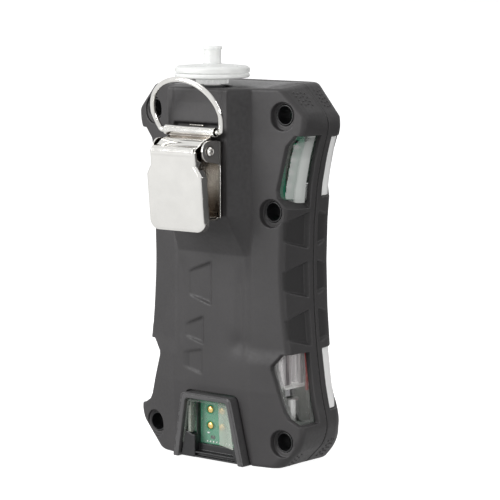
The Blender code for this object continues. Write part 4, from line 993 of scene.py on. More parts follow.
def front_shell(x, y, z):
    c = front_outer(x, y, z, False)
    d = rmax(c + 2.3, -(c + 4.1), 0.1)
    d = rmax(d, y - (PART_Y - GAP), 0.2)
    u = np.abs(x)
    for sx, sz in SCREWS:
        ring = np.sqrt((u - sx) ** 2 + (z - sz) ** 2)
        d = np.minimum(d, np.maximum(np.maximum(ring - 3.6, c + 2.3), y - (PART_Y - GAP)))
        d = np.maximum(d, -np.maximum(ring - 1.9, -8.6 - y))
    for up in (True, False):
        d = np.maximum(d, -np.maximum(poly(u, z, WIN_FRONT[up]) - 0.2, y + 5.5))
    for _, bx in BUTTONS:
        d = np.maximum(d, -(np.sqrt((x - bx) ** 2 + (z - 45.0) ** 2) - 4.0))
    for i in (-1, 0, 1):
        d = np.maximum(d, -np.maximum(slab(x, -6.5, 6.5), slab(z, 26 + i * 3.2 - 0.6, 26 + i * 3.2 + 0.6)))
    return np.maximum(d, -(np.sqrt(x * x + (z - 107.0) ** 2) - 1.6))


put(shape("rear_case_shell", rear_shell, (-36, -3, 1), (36, 22, 130), 0.6, CLEAR, 60000), "housing", "clear_polycarbonate", "rear_case")
put(shape("front_case_shell", front_shell, (-36, -14.5, 1), (36, -2.2, 130), 0.6, CLEAR, 50000), "housing", "clear_polycarbonate", "front_case")


def pane(front, side, up):
    pts = (WIN_FRONT if front else WIN_REAR)[up]

    def fn(x, y, z):
        c = front_outer(x, y + 0.6, z, False) if front else rear_core(x, y - 1.3, z)
        d = rmax(c + (1.1 if front else 1.75), -(c + 3.3), 0.3)
        d = rmax(d, rpoly(x * side, z, pts, 0.8) + 0.22, 0.3)
        if not front:      # long bevel from the rear face to the flank
            d = rmax(d, 0.88 * (SIDE(np.abs(x), z) + 1.75) + 0.47 * (y - 5.5), 0.3)
        return rmax(d, (y + 5.9) if front else (FOOT[up] + 0.9 - y), 0.3)

    zs = [p[1] for p in pts]
    lo = (min(side * 23, side * 38.5), -15.5 if front else 0, min(zs) - 0.5)
    hi = (max(side * 23, side * 38.5), -5 if front else 17, max(zs) + 0.5)
    nm = "%s_pane_%s_%s" % ("front" if front else "rear", "upper" if up else "lower", "right" if side > 0 else "left")
    return put(shape(nm, fn, lo, hi, 0.3, CLEAR_FRONT if front else (PANE if up else PANE_LOW), 16000), "housing", "clear_polycarbonate")


for fr in (False, True):
    for s in (1, -1):
        for up in (True, False):
            pane(fr, s, up)


# ---------------------------------------------------------------- parting gasket, inlet plate, socket
def gasket(x, y, z):
    u = np.abs(x)
    q = ends(SIDE(u, z), u, y, z)
    d = np.maximum(q + 0.25, -(q + 2.2))
    d = rmax(d, np.abs(y - PART_Y) - 0.22, 0.08)
    return np.maximum(d, -np.maximum(slab(x, -21.8, 21.8), 120 - z))


put(shape("parting_gasket", gasket, (-37.5, -3.6, -0.5), (37.5, -1.4, 132.5), 0.3, SEAL, 40000), "housing", "black_seal", "case_gasket")


def inlet_plate(x, y, z):
    zc = z - crown_z(y, z)
    d = rmax(rmax(slab(x, -21.2, 21.2), slab(y, -9.2, 11.4), 0.7), slab(zc, 128.1, 129.95), 0.25)
    d = sub(d, np.sqrt(x * x + (y - FILT_Y) ** 2) - 6.85, 0.2)
    # shallow moulded groove just inside the rim
    g = np.abs(rmax(slab(x, -19.6, 19.6), slab(y, -7.6, 9.8), 0.7)) - 0.18
    return sub(d, np.maximum(g, 129.75 - zc), 0.1)


put(shape("inlet_plate_skin", inlet_plate, (-22, -10.2, 127.5), (22, 12.2, 132), 0.3, PLATE_GREY, 40000), "housing", "grey_plastic", "inlet_plate")


def socket(x, y, z):
    r = np.sqrt(x * x + (y - FILT_Y) ** 2)
    d = rmax(rmax(r - 6.6, slab(z, 128.5, 130.7), 0.45), -(r - 3.3), 0.3)
    d = np.minimum(d, rmax(rmax(r - 3.95, slab(z, 120.0, 129.5), 0.2), -(r - np.where(z > 124.4, 3.3, 1.6)), 0.1))
    for s in (1, -1):
        d = sub(d, rbox(x - s * 6.0, y - FILT_Y, z, (-0.9, -1.2, 129.6), (0.9, 1.2, 135), 0.2), 0.15)
    return d


put(shape("inlet_socket_skin", socket, (-7.5, FILT_Y - 7.5, 119.5), (7.5, FILT_Y + 7.5, 131.2), 0.2, BLACK, 40000), "housing", "black_plastic", "inlet_socket")


# ---------------------------------------------------------------- inlet filter
def ribs(a, rad, hgt):
    if 131.2 < hgt < 132.9 and 4.5 < rad < 6:
        return 1.0 + 0.035 * (1 if (a * 18 / pi) % 2 < 1 else -1)
    return 1.0


low = lathe("filter_lower_body", [(1.0, 133.3), (11.45, 133.9), (11.45, 134.7), (12.2, 134.72), (12.6, 134.68), (12.8, 134.5), (12.8, 133.6), (12.4, 133.25), (11.6, 133.1), (8.0, 132.85),
                                  (5.6, 132.6), (5.45, 132.5), (5.4, 131.2), (5.2, 131.0), (2.9, 131.0), (2.9, 129.2), (2.3, 129.0), (2.3, 127.6),
                                  (2.9, 127.4), (2.9, 125.2), (2.6, 124.8), (1.0, 124.8), (1.0, 133.3)],
            (0, FILT_Y, 0), "Z", WHITE, 108, 0.12, wobble=ribs)
put(low, "inlet_filter", "translucent_white", "filter_lower_shell")
upp = lathe("filter_upper_body", [(1.4, 143.8), (2.6, 143.8), (3.3, 143.8), (3.4, 143.6), (3.4, 142.95), (3.0, 142.5), (3.0, 138.5),
                                  (3.1, 138.05), (3.5, 137.8), (8.0, 137.5), (11.6, 137.15), (12.0, 137.1), (12.15, 136.9), (12.6, 136.75), (12.8, 136.45),
                                  (12.8, 135.15), (12.7, 135.0), (11.5, 135.0), (11.5, 135.5), (1.4, 136.0), (1.4, 143.8)],
            (0, FILT_Y, 0), "Z", WHITE, 96, 0.1)
put(upp, "inlet_filter", "translucent_white", "filter_upper_shell")
mem = lathe("filter_disc_membrane", [(0.0, 134.55), (11.0, 134.55), (11.1, 134.5), (11.1, 134.3), (11.0, 134.25), (0.0, 134.25)],
            (0, FILT_Y, 0), "Z", WHITE, 72, 0.05)
put(mem, "inlet_filter", "translucent_white", "filter_membrane")


# ---------------------------------------------------------------- belt clip
def front_y(z):
    return 33.1 + (35.7 - 33.1) / (109.6 - 81.9) * (z - 81.9)


PLATE = [(-10.2, 109.6), (-10.2, 103.6), (-11.3, 102.9), (-12.3, 101.4), (-12.3, 81.9), (12.3, 81.9), (12.3, 101.4),
         (11.3, 102.9), (10.2, 103.6), (10.2, 109.6)]
TABP = smooth([(25.6, 114.4), (26.3, 113.7), (27.6, 113.1), (29.0, 112.75), (30.6, 112.2), (32.0, 111.2), (33.0, 110.65), (33.9, 110.45), (34.8, 110.35), (35.35, 109.95), (35.6, 109.3), (35.55, 108.2)], 5)
FL = [(PIN_Y + 2.3 * cos(radians(a)), PIN_Z + 2.3 * sin(radians(a))) for a in range(95, 265, 20)] + \
     [(31.2, 106.0), (33.4, 103.4), (34.8, 103.0), (35.4, 109.0), (34.2, 110.3), (31.0, 111.8)]


def lever(x, y, z):
    u = np.abs(x)
    # front plate: slightly crowned sheet with rounded corners and turned-in flanges
    bow = 0.35 * (1 - (x / 12.3) ** 2) * np.clip((104 - z) / 12, 0, 1)
    fy = front_y(z) + 0.15 + bow * 0.5
    q = rmax(u - tab(z, [(80, 12.3), (101.0, 12.3), (103.2, 11.0), (104.2, 10.2), (120, 10.2)]), 81.9 - z, 3.6)
    outer = rmax(q, y - (fy + 0.25), 1.15)
    inner = rmax(q + 0.75, y - (fy - 0.5), 0.6)
    d = np.maximum(outer, -inner)
    depth = fy - 3.3
    d = rmax(d, depth - y, 0.3)
    d = rmax(d, z - 109.3, 0.2)
    # the flanges stop above the shoulder
    d = sub(d, np.maximum(103.4 - z, y - (fy - 1.2)), 0.25)
    # thumb tab
    t = segs(y, z, TABP) - 0.4
    t = rmax(t, u - 9.4, 0.35)
    d = rmin(d, t, 0.35)
    # ear flanges round the pin
    f = rmax(rpoly(y, z, FL, 0.4), np.abs(u - 9.15) - 0.36, 0.15)
    d = rmin(d, f, 0.2)
    # rolled eye that holds the ring
    rr = np.sqrt((y - BAR_Y) ** 2 + (z - BAR_Z) ** 2)
    roll = rmax(np.abs(rr - 1.5) - 0.2, u - 11.2, 0.12)
    d = rmin(d, roll, 0.25)
    d = np.maximum(d, -(rr - 1.3))
    pin = np.sqrt((y - PIN_Y) ** 2 + (z - PIN_Z) ** 2)
    return np.maximum(d, -np.maximum(pin - 1.3, 8 - u))


put(shape("clip_lever_sheet", lever, (-13.3, 23.6, 81.0), (13.3, 36.9, 118.2), 0.2, STEEL, 150000, 0.06), "clip_lever", "polished_steel", "clip_lever")

EAR = [(24.0, 104.2), (26.0, 105.0)] + [(PIN_Y + 3.8 * cos(radians(a)), PIN_Z + 3.8 * sin(radians(a))) for a in range(-70, 80, 14)] + \
      [(26.0, 112.9), (24.0, 112.4)]
TONGUE = [(23.0, 109.6), (23.0, 112.0), (22.6, 113.4), (22.6, 116.4), (22.9, 117.2)]


def base(x, y, z):
    u = np.abs(x)
    # back sheet and ears bent out of it
    d = rmax(rmax(u - 11.5, slab(y, 23.25, 24.1), 0.25), slab(z, 86.4, 112.4), 0.3)
    e = rmax(rpoly(y, z, EAR, 0.3), np.abs(u - 11.15) - 0.35, 0.15)
    d = rmin(d, e, 0.5)
    # jaw lip at the bottom, bent out, with teeth
    lp = segs(y, z, [(23.65, 88.0), (23.68, 86.6), (24.3, 85.75), (31.2, 85.65)]) - 0.42
    lp = rmax(lp, u - 10.3, 0.2)
    teeth = 0.7 - np.abs(((x + 1.5 * 3) % 3.0) - 1.5)
    lp = np.maximum(lp, -np.maximum(-teeth * 1.0, 30.6 - y))
    d = rmin(d, lp, 0.25)
    t = rmax(segs(y, z, TONGUE) - 0.4, u - 3.2, 0.25)
    d = rmin(d, t, 0.2)
    d = np.maximum(d, -np.maximum(np.sqrt(x * x + (z - 97.0) ** 2) - 1.9, 20 - y))
    pin = np.sqrt((y - PIN_Y) ** 2 + (z - PIN_Z) ** 2)
    return np.maximum(d, -np.maximum(pin - 1.3, 8 - u))


put(shape("clip_base_sheet", base, (-12.1, 21.8, 84.8), (12.1, 34.2, 118.4), 0.2, STEEL_BASE, 90000, 0.06), "housing", "polished_steel", "clip_base")

pin = lathe("clip_rivet", [(0.0, 12.35), (0.55, 12.35), (0.62, 12.1), (0.9, 12.05), (1.05, 12.45), (1.35, 12.3), (1.6, 12.0), (1.6, 11.75), (1.0, 11.75), (1.0, -11.75),
                           (1.6, -11.75), (1.6, -12.0), (1.35, -12.3), (1.05, -12.45), (0.9, -12.05), (0.62, -12.1), (0.55, -12.35), (0.0, -12.35)], (0, PIN_Y, PIN_Z), "X", STEEL, 48, 0.06)
put(pin, "housing", "polished_steel", "clip_pin")

tilt = radians(20.0)


def ring_path():
    half = [(0.0, 0.0), (6.0, 0.0), (11.6, 0.0)]
    half += [(12.5 + 1.2 * sin(radians(a)), 1.2 - 1.2 * cos(radians(a))) for a in range(0, 80, 20)]
    half += [(14.35, 3.0)]
    half += [(15.0 * cos(radians(a)), 6.0 + 12.8 * sin(radians(a))) for a in range(0, 91, 6)]
    full = half + [(-u, v) for u, v in reversed(half[1:-1])]
    P = smooth([(u, v) for u, v in full + [full[0]]], 3)[:-1]
    return [(u, BAR_Y + v * sin(tilt), BAR_Z + v * cos(tilt)) for u, v in P]


ring = sweep("ring_wire", ring_path(), 0.9, STEEL, True, 24)
put(ring, "d_ring", "polished_steel", "d_ring")

coil = []
per = 16
for i in range(int(3.5 * per) + 1):
    a = radians(60) - 2 * pi * i / per
    coil.append((-2.2 + 4.4 * i / (3.5 * per), PIN_Y + 1.62 * cos(a), PIN_Z + 1.62 * sin(a)))
sp = sweep("clip_spring_wire", [(coil[0][0], 28.4, 111.7)] + coil + [(coil[-1][0], 30.9, 106.5), (coil[-1][0], 31.2, 104.5)], 0.28, PLATED, False, 12)
put(sp, "clip_lever", "plated_steel", "clip_spring")


def screw_head(name, c, head, body, slotname, nodes, torx=True):
    x0, y0, z0, r0, hh = c

    def fn(x, y, z):
        r = np.sqrt((x - x0) ** 2 + (z - z0) ** 2)
        dome = (y - y0) + r * r * 0.03
        d = rmax(r - r0, np.maximum(dome, (y0 - hh) - y), 0.3)
        a = np.arctan2(z - z0, x - x0)
        cross = np.minimum(rmax(np.abs(x - x0) - 0.28, np.abs(z - z0) - r0 * 0.6, 0.1), rmax(np.abs(z - z0) - 0.28, np.abs(x - x0) - r0 * 0.6, 0.1))
        d = sub(d, np.maximum(cross, (y0 - 0.9) - y), 0.08)
        return np.minimum(d, rmax(r - 1.45, slab(y, head, y0 - hh + 0.2), 0.1))

    ob = shape(name, fn, (x0 - r0 - 0.4, head - 0.4, z0 - r0 - 0.4), (x0 + r0 + 0.4, y0 + 0.4, z0 + r0 + 0.4), 0.16, PLATED, 9000, 0.05)
    return put(ob, body, slotname, *nodes)


k = 0
lab = ["upper_right", "middle_right", "lower_right", "upper_left", "middle_left", "lower_left"]
for s in (1, -1):
    for wx, wz in SCREWS:
        screw_head("case_bolt_" + lab[k], (s * wx, 4.3, wz, 2.7, 2.0), -7.8, "housing", "plated_steel", ["case_screw_" + lab[k]])
        k += 1
screw_head("clip_bolt", (0.0, 25.7, 97.0, 2.9, 1.1), 22.0, "housing", "plated_steel", ["clip_screw"])


# ---------------------------------------------------------------- dock
def dock_frame(x, y, z):
    out = rpoly(x, z, dock_pts(23.5, 11.2, 16.1, bottom=-6), 1.7)
    inn = rpoly(x, z, dock_pts(21.6, 9.3, 13.7, bottom=-6), 1.5)
    lip = 19.2 - 1.3 * np.clip((24.0 - z) / 24.0, 0, 1)
    d = rmax(out, np.maximum(9.4 - y, y - lip), 0.5)
    d = rmax(d, -z + 0.12, 0.4)
    # fine groove round the outside of the rim
    g = np.abs(rpoly(x, z, dock_pts(23.1, 10.7, 15.6, bottom=-6), 1.6)) - 0.13
    d = sub(d, np.maximum(g, (lip - 0.22) - y), 0.06)
    return sub(d, np.maximum(inn, 5 - y), 0.3)


put(shape("dock_frame_skin", dock_frame, (-17.2, 9.0, -0.6), (17.2, 19.8, 24.2), 0.25, GREY, 60000), "housing", "grey_plastic", "dock_frame")


def dock_cover(x, y, z):
    """Clear tray: a thin floor over the board, holed for the contacts, and walls up to the rim, cut away at the bottom.
    """
    out = rpoly(x, z, dock_pts(21.25, 9.0, 13.3, bottom=-6), 1.4)
    inn = rpoly(x, z, dock_pts(20.4, 8.3, 12.5, bottom=-6), 1.0)
    top = 18.2 - 1.3 * np.clip((24.0 - z) / 24.0, 0, 1)
    d = rmax(rmax(out, np.maximum(12.9 - y, y - top), 0.25), 0.42 - z, 0.2)
    d = sub(d, np.maximum(inn, 13.5 - y), 0.2)
    for cx in (-2.7, 2.7):
        for cz in (17.4, 11.7):
            d = sub(d, np.sqrt((x - cx) ** 2 + (z - cz) ** 2) - 1.7, 0.1)
    return sub(d, rmax(slab(x, -20, 20), np.maximum(z - 5.3, 12.6 - y), 0), 0.1)


def dock_slope(x, y, z):
    out = rpoly(x, z, dock_pts(20.3, 8.2, 12.3, bottom=-6), 0.9)
    foot = -1.4 - 0.06 * (20.0 - z)
    line = 13.6 + (foot - x) * 0.40
    d = rmax(np.abs(y - line) * 0.93 - 0.22, out, 0.1)
    d = rmax(d, x - (foot + 0.2), 0.1)
    return rmax(rmax(d, 5.4 - z, 0.1), y - 17.2, 0.1)


put(shape("dock_cover", dock_cover, (-14, 12.4, -0.4), (14, 19.0, 22), 0.2, CLEAR_DOCK, 40000), "housing", "clear_polycarbonate", "dock_window")
put(blocks("dock_cover_edge", [((8.55, 13.7, 9.2), (8.95, 16.9, 20.2)), ((8.95, 16.2, 9.2), (9.6, 16.9, 18.5))], PALE), "housing")
put(shape("dock_cover_slope", dock_slope, (-13.5, 12.8, 4.8), (0.0, 18.0, 21), 0.16, PALE, 20000), "housing", "clear_polycarbonate")


def sill(x, y, z):
    w = rpoly(x, z, dock_pts(21.0, 8.8, 13.1, bottom=-6), 0.8)
    d = rmax(rmax(w, slab(y, 12.7, 16.6), 0.2), slab(z, 0.45, 5.2), 0.35)
    d = sub(d, rbox(x, y, z, (-10.5, 14.4, 2.6), (9.0, 18, 7.6), 0.4), 0.25)
    d = sub(d, rbox(x, y, z, (-11.5, 15.6, 1.1), (10.5, 18, 2.0), 0.2), 0.15)
    # black cheek that rises along the +X side, with a thin rib above it
    ck = rmax(rmax(w, 6.6 - x, 0.2), slab(y, 13.6, 17.0), 0.3)
    d = np.minimum(d, rmax(ck, slab(z, 0.45, 8.6 + 0.5 * np.clip(x - 8, 0, 2)), 0.5))
    return np.minimum(d, rbox(x, y, z, (6.7, 13.5, 5.0), (7.15, 15.4, 20.0), 0.15))


put(shape("dock_sill", sill, (-14, 12.4, 0.0), (14, 17.6, 20.6), 0.2, BLACK, 30000), "housing", "black_plastic")


def board_fn(x, y, z):
    d = rmax(rmax(rpoly(x, z, dock_pts(20.9, 8.6, 12.6, bottom=-6), 1.0), slab(y, 11.2, 12.4), 0.1), 1.6 - z, 0.2)
    return d


put(shape("contact_board_skin", board_fn, (-13, 11, 1.2), (13, 12.8, 21.4), 0.2, BOARD, 12000), "housing", "circuit_board", "contact_board")
i = 0
for cx, cz in [(-2.7, 17.4), (2.7, 17.4), (-2.7, 11.7), (2.7, 11.7)]:
    i += 1
    c = lathe("contact_pad_%d" % i, [(0.0, 13.62), (0.5, 13.6), (1.0, 13.5), (1.3, 13.25), (1.35, 13.0), (1.35, 12.75), (0.0, 12.75)], (cx, 0, cz), "Y", GOLD, 48, 0.08)
    put(c, "housing", "gold_plate", "charge_contact_%d" % i)
# small parts and solder points on the contact board
chips = [((1.1, 12.42, 6.9), (2.9, 12.8, 8.1), 0.3), ((-8.3, 12.42, 7.0), (-6.6, 12.9, 8.4))]
put(blocks("dock_chips", chips, CHIP_BLACK), "housing")
pts = [(-8.6 + 1.45 * j, 5.9) for j in range(10)]
put(blocks("dock_solder", [((px - 0.28, 12.42, pz - 0.28), (px + 0.28, 12.8, pz + 0.28)) for px, pz in pts], CHIP_WHITE, 0.2), "housing")
put(blocks("dock_resistors", [((-6.9, 12.42, 9.6), (-6.3, 12.8, 10.8)), ((-6.9, 12.42, 12.4), (-6.3, 12.8, 13.6)), ((3.4, 12.42, 8.7), (4.4, 12.8, 9.2))], CHIP_WHITE), "housing")

# ---------------------------------------------------------------- front face
def display_glass(x, y, z):
    d = rmax(rmax(slab(x, -20.6, 20.6), slab(z, 58.4, 95.6), 1.3), slab(y, -15.3, -13.6), 0.35)
    return d


put(shape("display_lens", display_glass, (-21.2, -15.8, 57.8), (21.2, -13.2, 96.2), 0.3, GLASS, 20000), "housing", "display_glass", "display_window")


def lcd(x, y, z):
    d = rbox(x, y, z, (-18.5, -10.3, 60.5), (18.5, -8.2, 93.5), 0.3)
    fr = sub(rbox(x, y, z, (-18.5, -10.4, 60.5), (18.5, -9.6, 93.5), 0.2), rmax(slab(x, -16.6, 16.6), slab(z, 63.0, 91.5), 0.6), 0.1)
    return np.minimum(np.maximum(d, -10.15 - y), fr)


put(shape("lcd_panel", lcd, (-19, -10.8, 60), (19, -7.8, 94), 0.3, LCD, 20000), "housing", "lcd_face", "lcd_module")


def key(bx, kind):
    def fn(x, y, z):
        r = np.sqrt((x - bx) ** 2 + (z - 45.0) ** 2)
        top = -16.85 + 0.035 * np.maximum(r - 1.0, 0) ** 2 + 0.12 * np.exp(-(r / 2.2) ** 2)
        d = rmax(r - 4.6, np.maximum(top - y, y + 14.3), 0.5)
        d = np.minimum(d, rmax(r - 3.6, slab(y, -14.6, -10.4), 0.1))
        d = np.minimum(d, rmax(r - 4.6, slab(y, -10.7, -9.6), 0.15))
        # raised mark: arrow up, ring, arrow down
        if kind == 0:
            m = np.abs(r - 1.7) - 0.22
            m = rmax(m, -(rmax(np.abs(x - bx) - 0.55, -(z - 45.0), 0.05)), 0.05)
            m = np.minimum(m, rmax(np.abs(x - bx) - 0.2, slab(z, 45.2, 47.0), 0.1))
        else:
            zz = (z - 45.0) * kind
            m = rpoly(x - bx, zz, [(-1.9, -1.1), (1.9, -1.1), (0, 1.7)], 0.25)
            m = np.abs(m + 0.2) - 0.24
        return rmin(d, rmax(m, np.maximum((top - 0.22) - y, y - (top + 0.6)), 0.08), 0.06)

    return fn


for (nm, bx), kind in zip(BUTTONS, (1, 0, -1)):
    o = shape(nm + "_cap", key(bx, kind), (bx - 5.1, -17.3, 39.9), (bx + 5.1, -9.2, 50.1), 0.18, RUBBER_KEY, 30000, 0.06)
    put(o, nm, "overmould_rubber", nm)

# ---------------------------------------------------------------- inside, seen through the windows
bx0, bx1 = 0.7, 2.2
parts_w, parts_b, parts_t = [], [], []
for s in (1, -1):
    for j, zz in enumerate((96.6, 101.2, 105.6, 110.0)):
        xx = s * (tab(zz, OUTLINE) - 7.6)
        parts_w.append(((xx - 1.3, 2.0, zz - 0.9), (xx + 1.3, 3.6, zz + 0.9), 0.5))
        parts_t.append(((xx - 1.5, 2.2, zz - 0.5), (xx + 1.5, 2.6, zz + 0.5), 0.1))
    for zz in (94.6, 98.8, 103.4, 107.8, 111.8):
        xx = s * (tab(zz, OUTLINE) - 8.6)
        parts_b.append(((xx - 0.7, 2.2, zz - 0.5), (xx + 0.7, 3.0, zz + 0.5)))
put(blocks("board_capacitors", parts_w, CHIP_WHITE), "housing")
put(blocks("board_chips", parts_b, CHIP_BLACK), "housing")
put(blocks("board_solder", parts_t, TIN), "housing")
put(blocks("display_mask", [((-22.0, -8.1, 57.5), (-18.6, -7.8, 97.0)), ((18.6, -8.1, 57.5), (22.0, -7.8, 97.0)),
                            ((-18.6, -8.1, 57.5), (18.6, -7.8, 60.4)), ((-18.6, -8.1, 93.6), (18.6, -7.8, 97.0))], BLACK), "housing")
put(blocks("board_shield", [((min(s * 22.3, s * (tab(zz, OUTLINE) - 9.45)), 2.2, zz - 1.0), (max(s * 22.3, s * (tab(zz, OUTLINE) - 9.45)), 2.6, zz + 1.0))
                            for s in (1, -1) for zz in np.arange(95.5, 113.6, 2.0)], TRAY), "housing")


def pack(x, y, z):
    """A flat pack with rounded sides in shrink wrap, wrinkled near its ends, with a tighter edge round each end."""
    u = np.abs(x)
    r = np.sqrt(np.maximum(u - 18.6, 0) ** 2 * 1.06 + (y - 3.1) ** 2) - 5.5
    wave = 0.05 * np.sin(z * 1.3 + 2.0 * np.sin(x * 0.35)) * np.clip((np.abs(z - 49.2) - 17) / 4, 0, 1)
    d = rmax(r + wave, slab(z, 27.6, 70.9), 0.9)
    lip = rmax(np.abs(r + 0.5) - 0.45, slab(z, 27.5, 71.0), 0.2)
    return np.minimum(d, lip)


put(blocks("battery_side_card", [((s_ * 24.6 - 0.35, -8.4, 27.6), (s_ * 24.6 + 0.35, -2.2, 41.0)) for s_ in (1, -1)], WRAP), "housing")
put(blocks("battery_foam", [((min(s_ * 26.4, s_ * 15), -8.2, 26.75), (max(s_ * 26.4, s_ * 15), 7.0, 27.4)) for s_ in (1, -1)], CHIP_WHITE), "housing")
put(blocks("battery_pads", [((-22.4, -6.3, 27.6), (-14.0, -2.9, 68.0)), ((14.0, -6.3, 38.0), (22.4, -2.9, 68.0))], WRAP), "housing")
put(blocks("battery_tray", [((min(s_ * 26.2, s_ * 14), -6.3, 12.0), (max(s_ * 26.2, s_ * 14), -5.7, 26.6)) for s_ in (1, -1)], TRAY), "housing")
put(shape("battery_wrap_skin", pack, (-25, -3, 27), (25, 9.2, 71.5), 0.4, WRAP, 40000), "housing", "battery_wrap", "battery_pack")
red = sweep("battery_lead_red", smooth([(-21.5, 0.6, 71.9), (-22.0, -0.6, 73.6), (-23.6, -2.4, 70.0), (-25.2, -3.0, 56.0),
                                        (-27.0, -2.6, 42.0), (-28.5, -1.6, 34.0), (-28.8, -1.3, 26.0)], 6), 0.55, RED)
put(red, "housing", "red_wire", "battery_wire_red")
blk = sweep("battery_lead_black", smooth([(21.5, 0.6, 71.9), (22.0, -0.6, 73.6), (23.4, -2.4, 70.0), (25.0, -3.0, 56.0),
                                          (26.0, -4.0, 44.0), (24.4, -5.4, 36.0), (22.4, -7.1, 34.0)], 6), 0.55, WIRE_BLACK)
put(blk, "housing", "black_wire", "battery_wire_black")

# ---------------------------------------------------------------- raised dots on the corner facets
def dots(name, sites, r=0.42):
    """Low domes set into a surface: each site is (point, normal)."""
    bm = bmesh.new()
    for p, n in sites:
        g = bmesh.ops.create_icosphere(bm, subdivisions=2, radius=r * 0.001)
        q = Vector(n).normalized().to_track_quat("Z", "Y").to_matrix().to_4x4()
        bmesh.ops.transform(bm, matrix=Matrix.Translation(Vector(p) * 0.001) @ q @ Matrix.Diagonal((1, 1, 0.75, 1)), verts=g["verts"])
    return finish_bm(name, bm, RUBBER, 60)


def onto(fn, p, n, steps=40):
    """Slide a point along n until it meets the surface."""
    p = np.array(p, float)
    n = np.array(n, float) / np.linalg.norm(n)
    for _ in range(steps):
        d = float(np.ravel(fn(np.array([p[0]]), np.array([p[1]]), np.array([p[2]])))[0])
        p = p - n * d * 0.9
    return p


def dot_grid(fn, rows, n, sx):
    out = []
    for (x, y, z) in rows:
        nn = (n[0] * sx, n[1], n[2])
        p = onto(fn, (x * sx + nn[0] * 2, y + nn[1] * 2, z + nn[2] * 2), nn)
        out.append((p, nn))
    return out


facets = []
for sx in (1, -1):
    # on the upper rear, upper front, lower front and lower rear chamfers
    rr = [(32.9 - 1.2 * a + (0.6 if b % 2 else 0), 8.0 - 2.0 * b, 124.4 + 1.2 * a) for a in range(4) for b in range(4)]
    facets += dot_grid(rear_outer, rr, (0.7, 0.0, 0.7), sx)
    rr = [(33.2 - 1.2 * a + (0.6 if b % 2 else 0), -5.4 - 1.5 * b, 124.2 + 1.2 * a) for a in range(5) for b in range(3)]
    facets += dot_grid(front_outer, rr, (0.7, 0.0, 0.7), sx)
    rr = [(34.8 - 1.35 * a + (0.6 if b % 2 else 0), -6.0 - 1.5 * b, 8.0 - 1.35 * a) for a in range(5) for b in range(3)]
    facets += dot_grid(front_outer, rr, (0.7, 0.0, -0.7), sx)
    rr = [(32.4 - 1.2 * a + (0.5 if b % 2 else 0), 8.0 - 2.0 * b, 4.6 - 1.2 * a) for a in range(4) for b in range(2)]
    facets += dot_grid(rear_outer, rr, (0.7, 0.0, -0.7), sx)
put(dots("grip_dots", facets), "housing", "overmould_rubber")

# ---------------------------------------------------------------- materials of the carried-over nodes
for names, mat in ((("manifold_gasket", "inlet_o_ring"), SEAL), (("sensor_manifold",), GREY), (("pump_head", "alarm_sounder"), BLACK),
                   (("vibration_weight",), PLATED), (("exhaust_filter",), WHITE), (("front_board", "main_board"), BOARD),
                   (("sensor_oxygen", "sensor_carbon_monoxide", "sensor_hydrogen_sulfide", "sensor_combustible", "pump_motor", "vibration_motor"), CAN),
                   (("inlet_tube", "exhaust_tube"), TUBE)):
    for n in names:
        o = NODES[n]
        o.data.materials.clear()
        o.data.materials.append(mat)

# ---------------------------------------------------------------- stage, light, camera
sc = bpy.context.scene
sc.view_settings.view_transform = "Standard"
DARK_SIDE, DARK = (-0.64, -0.76, -0.05), 0.12
W_DIFFUSE, W_GLOSSY = 0.50, 0.88
world = bpy.data.worlds.new("studio")
sc.world = world
world.use_nodes = True
wt = world.node_tree
bg = wt.nodes["Background"]
tc = wt.nodes.new("ShaderNodeTexCoord")
sepz = wt.nodes.new("ShaderNodeSeparateXYZ")
wt.links.new(tc.outputs["Generated"], sepz.inputs[0])


def wmath(op, a, b=None):
    n = wt.nodes.new("ShaderNodeMath")
    n.operation = op
    for k_, v in enumerate((a, b)):
        if v is None:
            continue
        if isinstance(v, (int, float)):
            n.inputs[k_].default_value = v
        else:
            wt.links.new(v, n.inputs[k_])
    return n.outputs[0]


# soft boxes as seen in reflections: bright all round but for a dark card off to the right
dot = wt.nodes.new("ShaderNodeVectorMath")
dot.operation = "DOT_PRODUCT"
wt.links.new(tc.outputs["Generated"], dot.inputs[0])
dot.inputs[1].default_value = DARK_SIDE
card = wt.nodes.new("ShaderNodeMapRange")
card.inputs["From Min"].default_value = 0.55
card.inputs["From Max"].default_value = 0.9
card.inputs["To Min"].default_value = 1.0
card.inputs["To Max"].default_value = DARK
wt.links.new(dot.outputs["Value"], card.inputs["Value"])
lp = wt.nodes.new("ShaderNodeLightPath")
soft = wmath("ADD", wmath("MULTIPLY", lp.outputs["Is Glossy Ray"], W_GLOSSY - W_DIFFUSE), W_DIFFUSE)
soft = wmath("MULTIPLY", soft, card.outputs["Result"])
mixw = wt.nodes.new("ShaderNodeMix")
mixw.data_type = "FLOAT"
wt.links.new(lp.outputs["Is Camera Ray"], mixw.inputs[0])
mixw.inputs[3].default_value = 1.0
wt.links.new(soft, mixw.inputs[2])
wt.links.new(mixw.outputs[0], bg.inputs["Strength"])
bg.inputs["Color"].default_value = (1, 1, 1, 1)

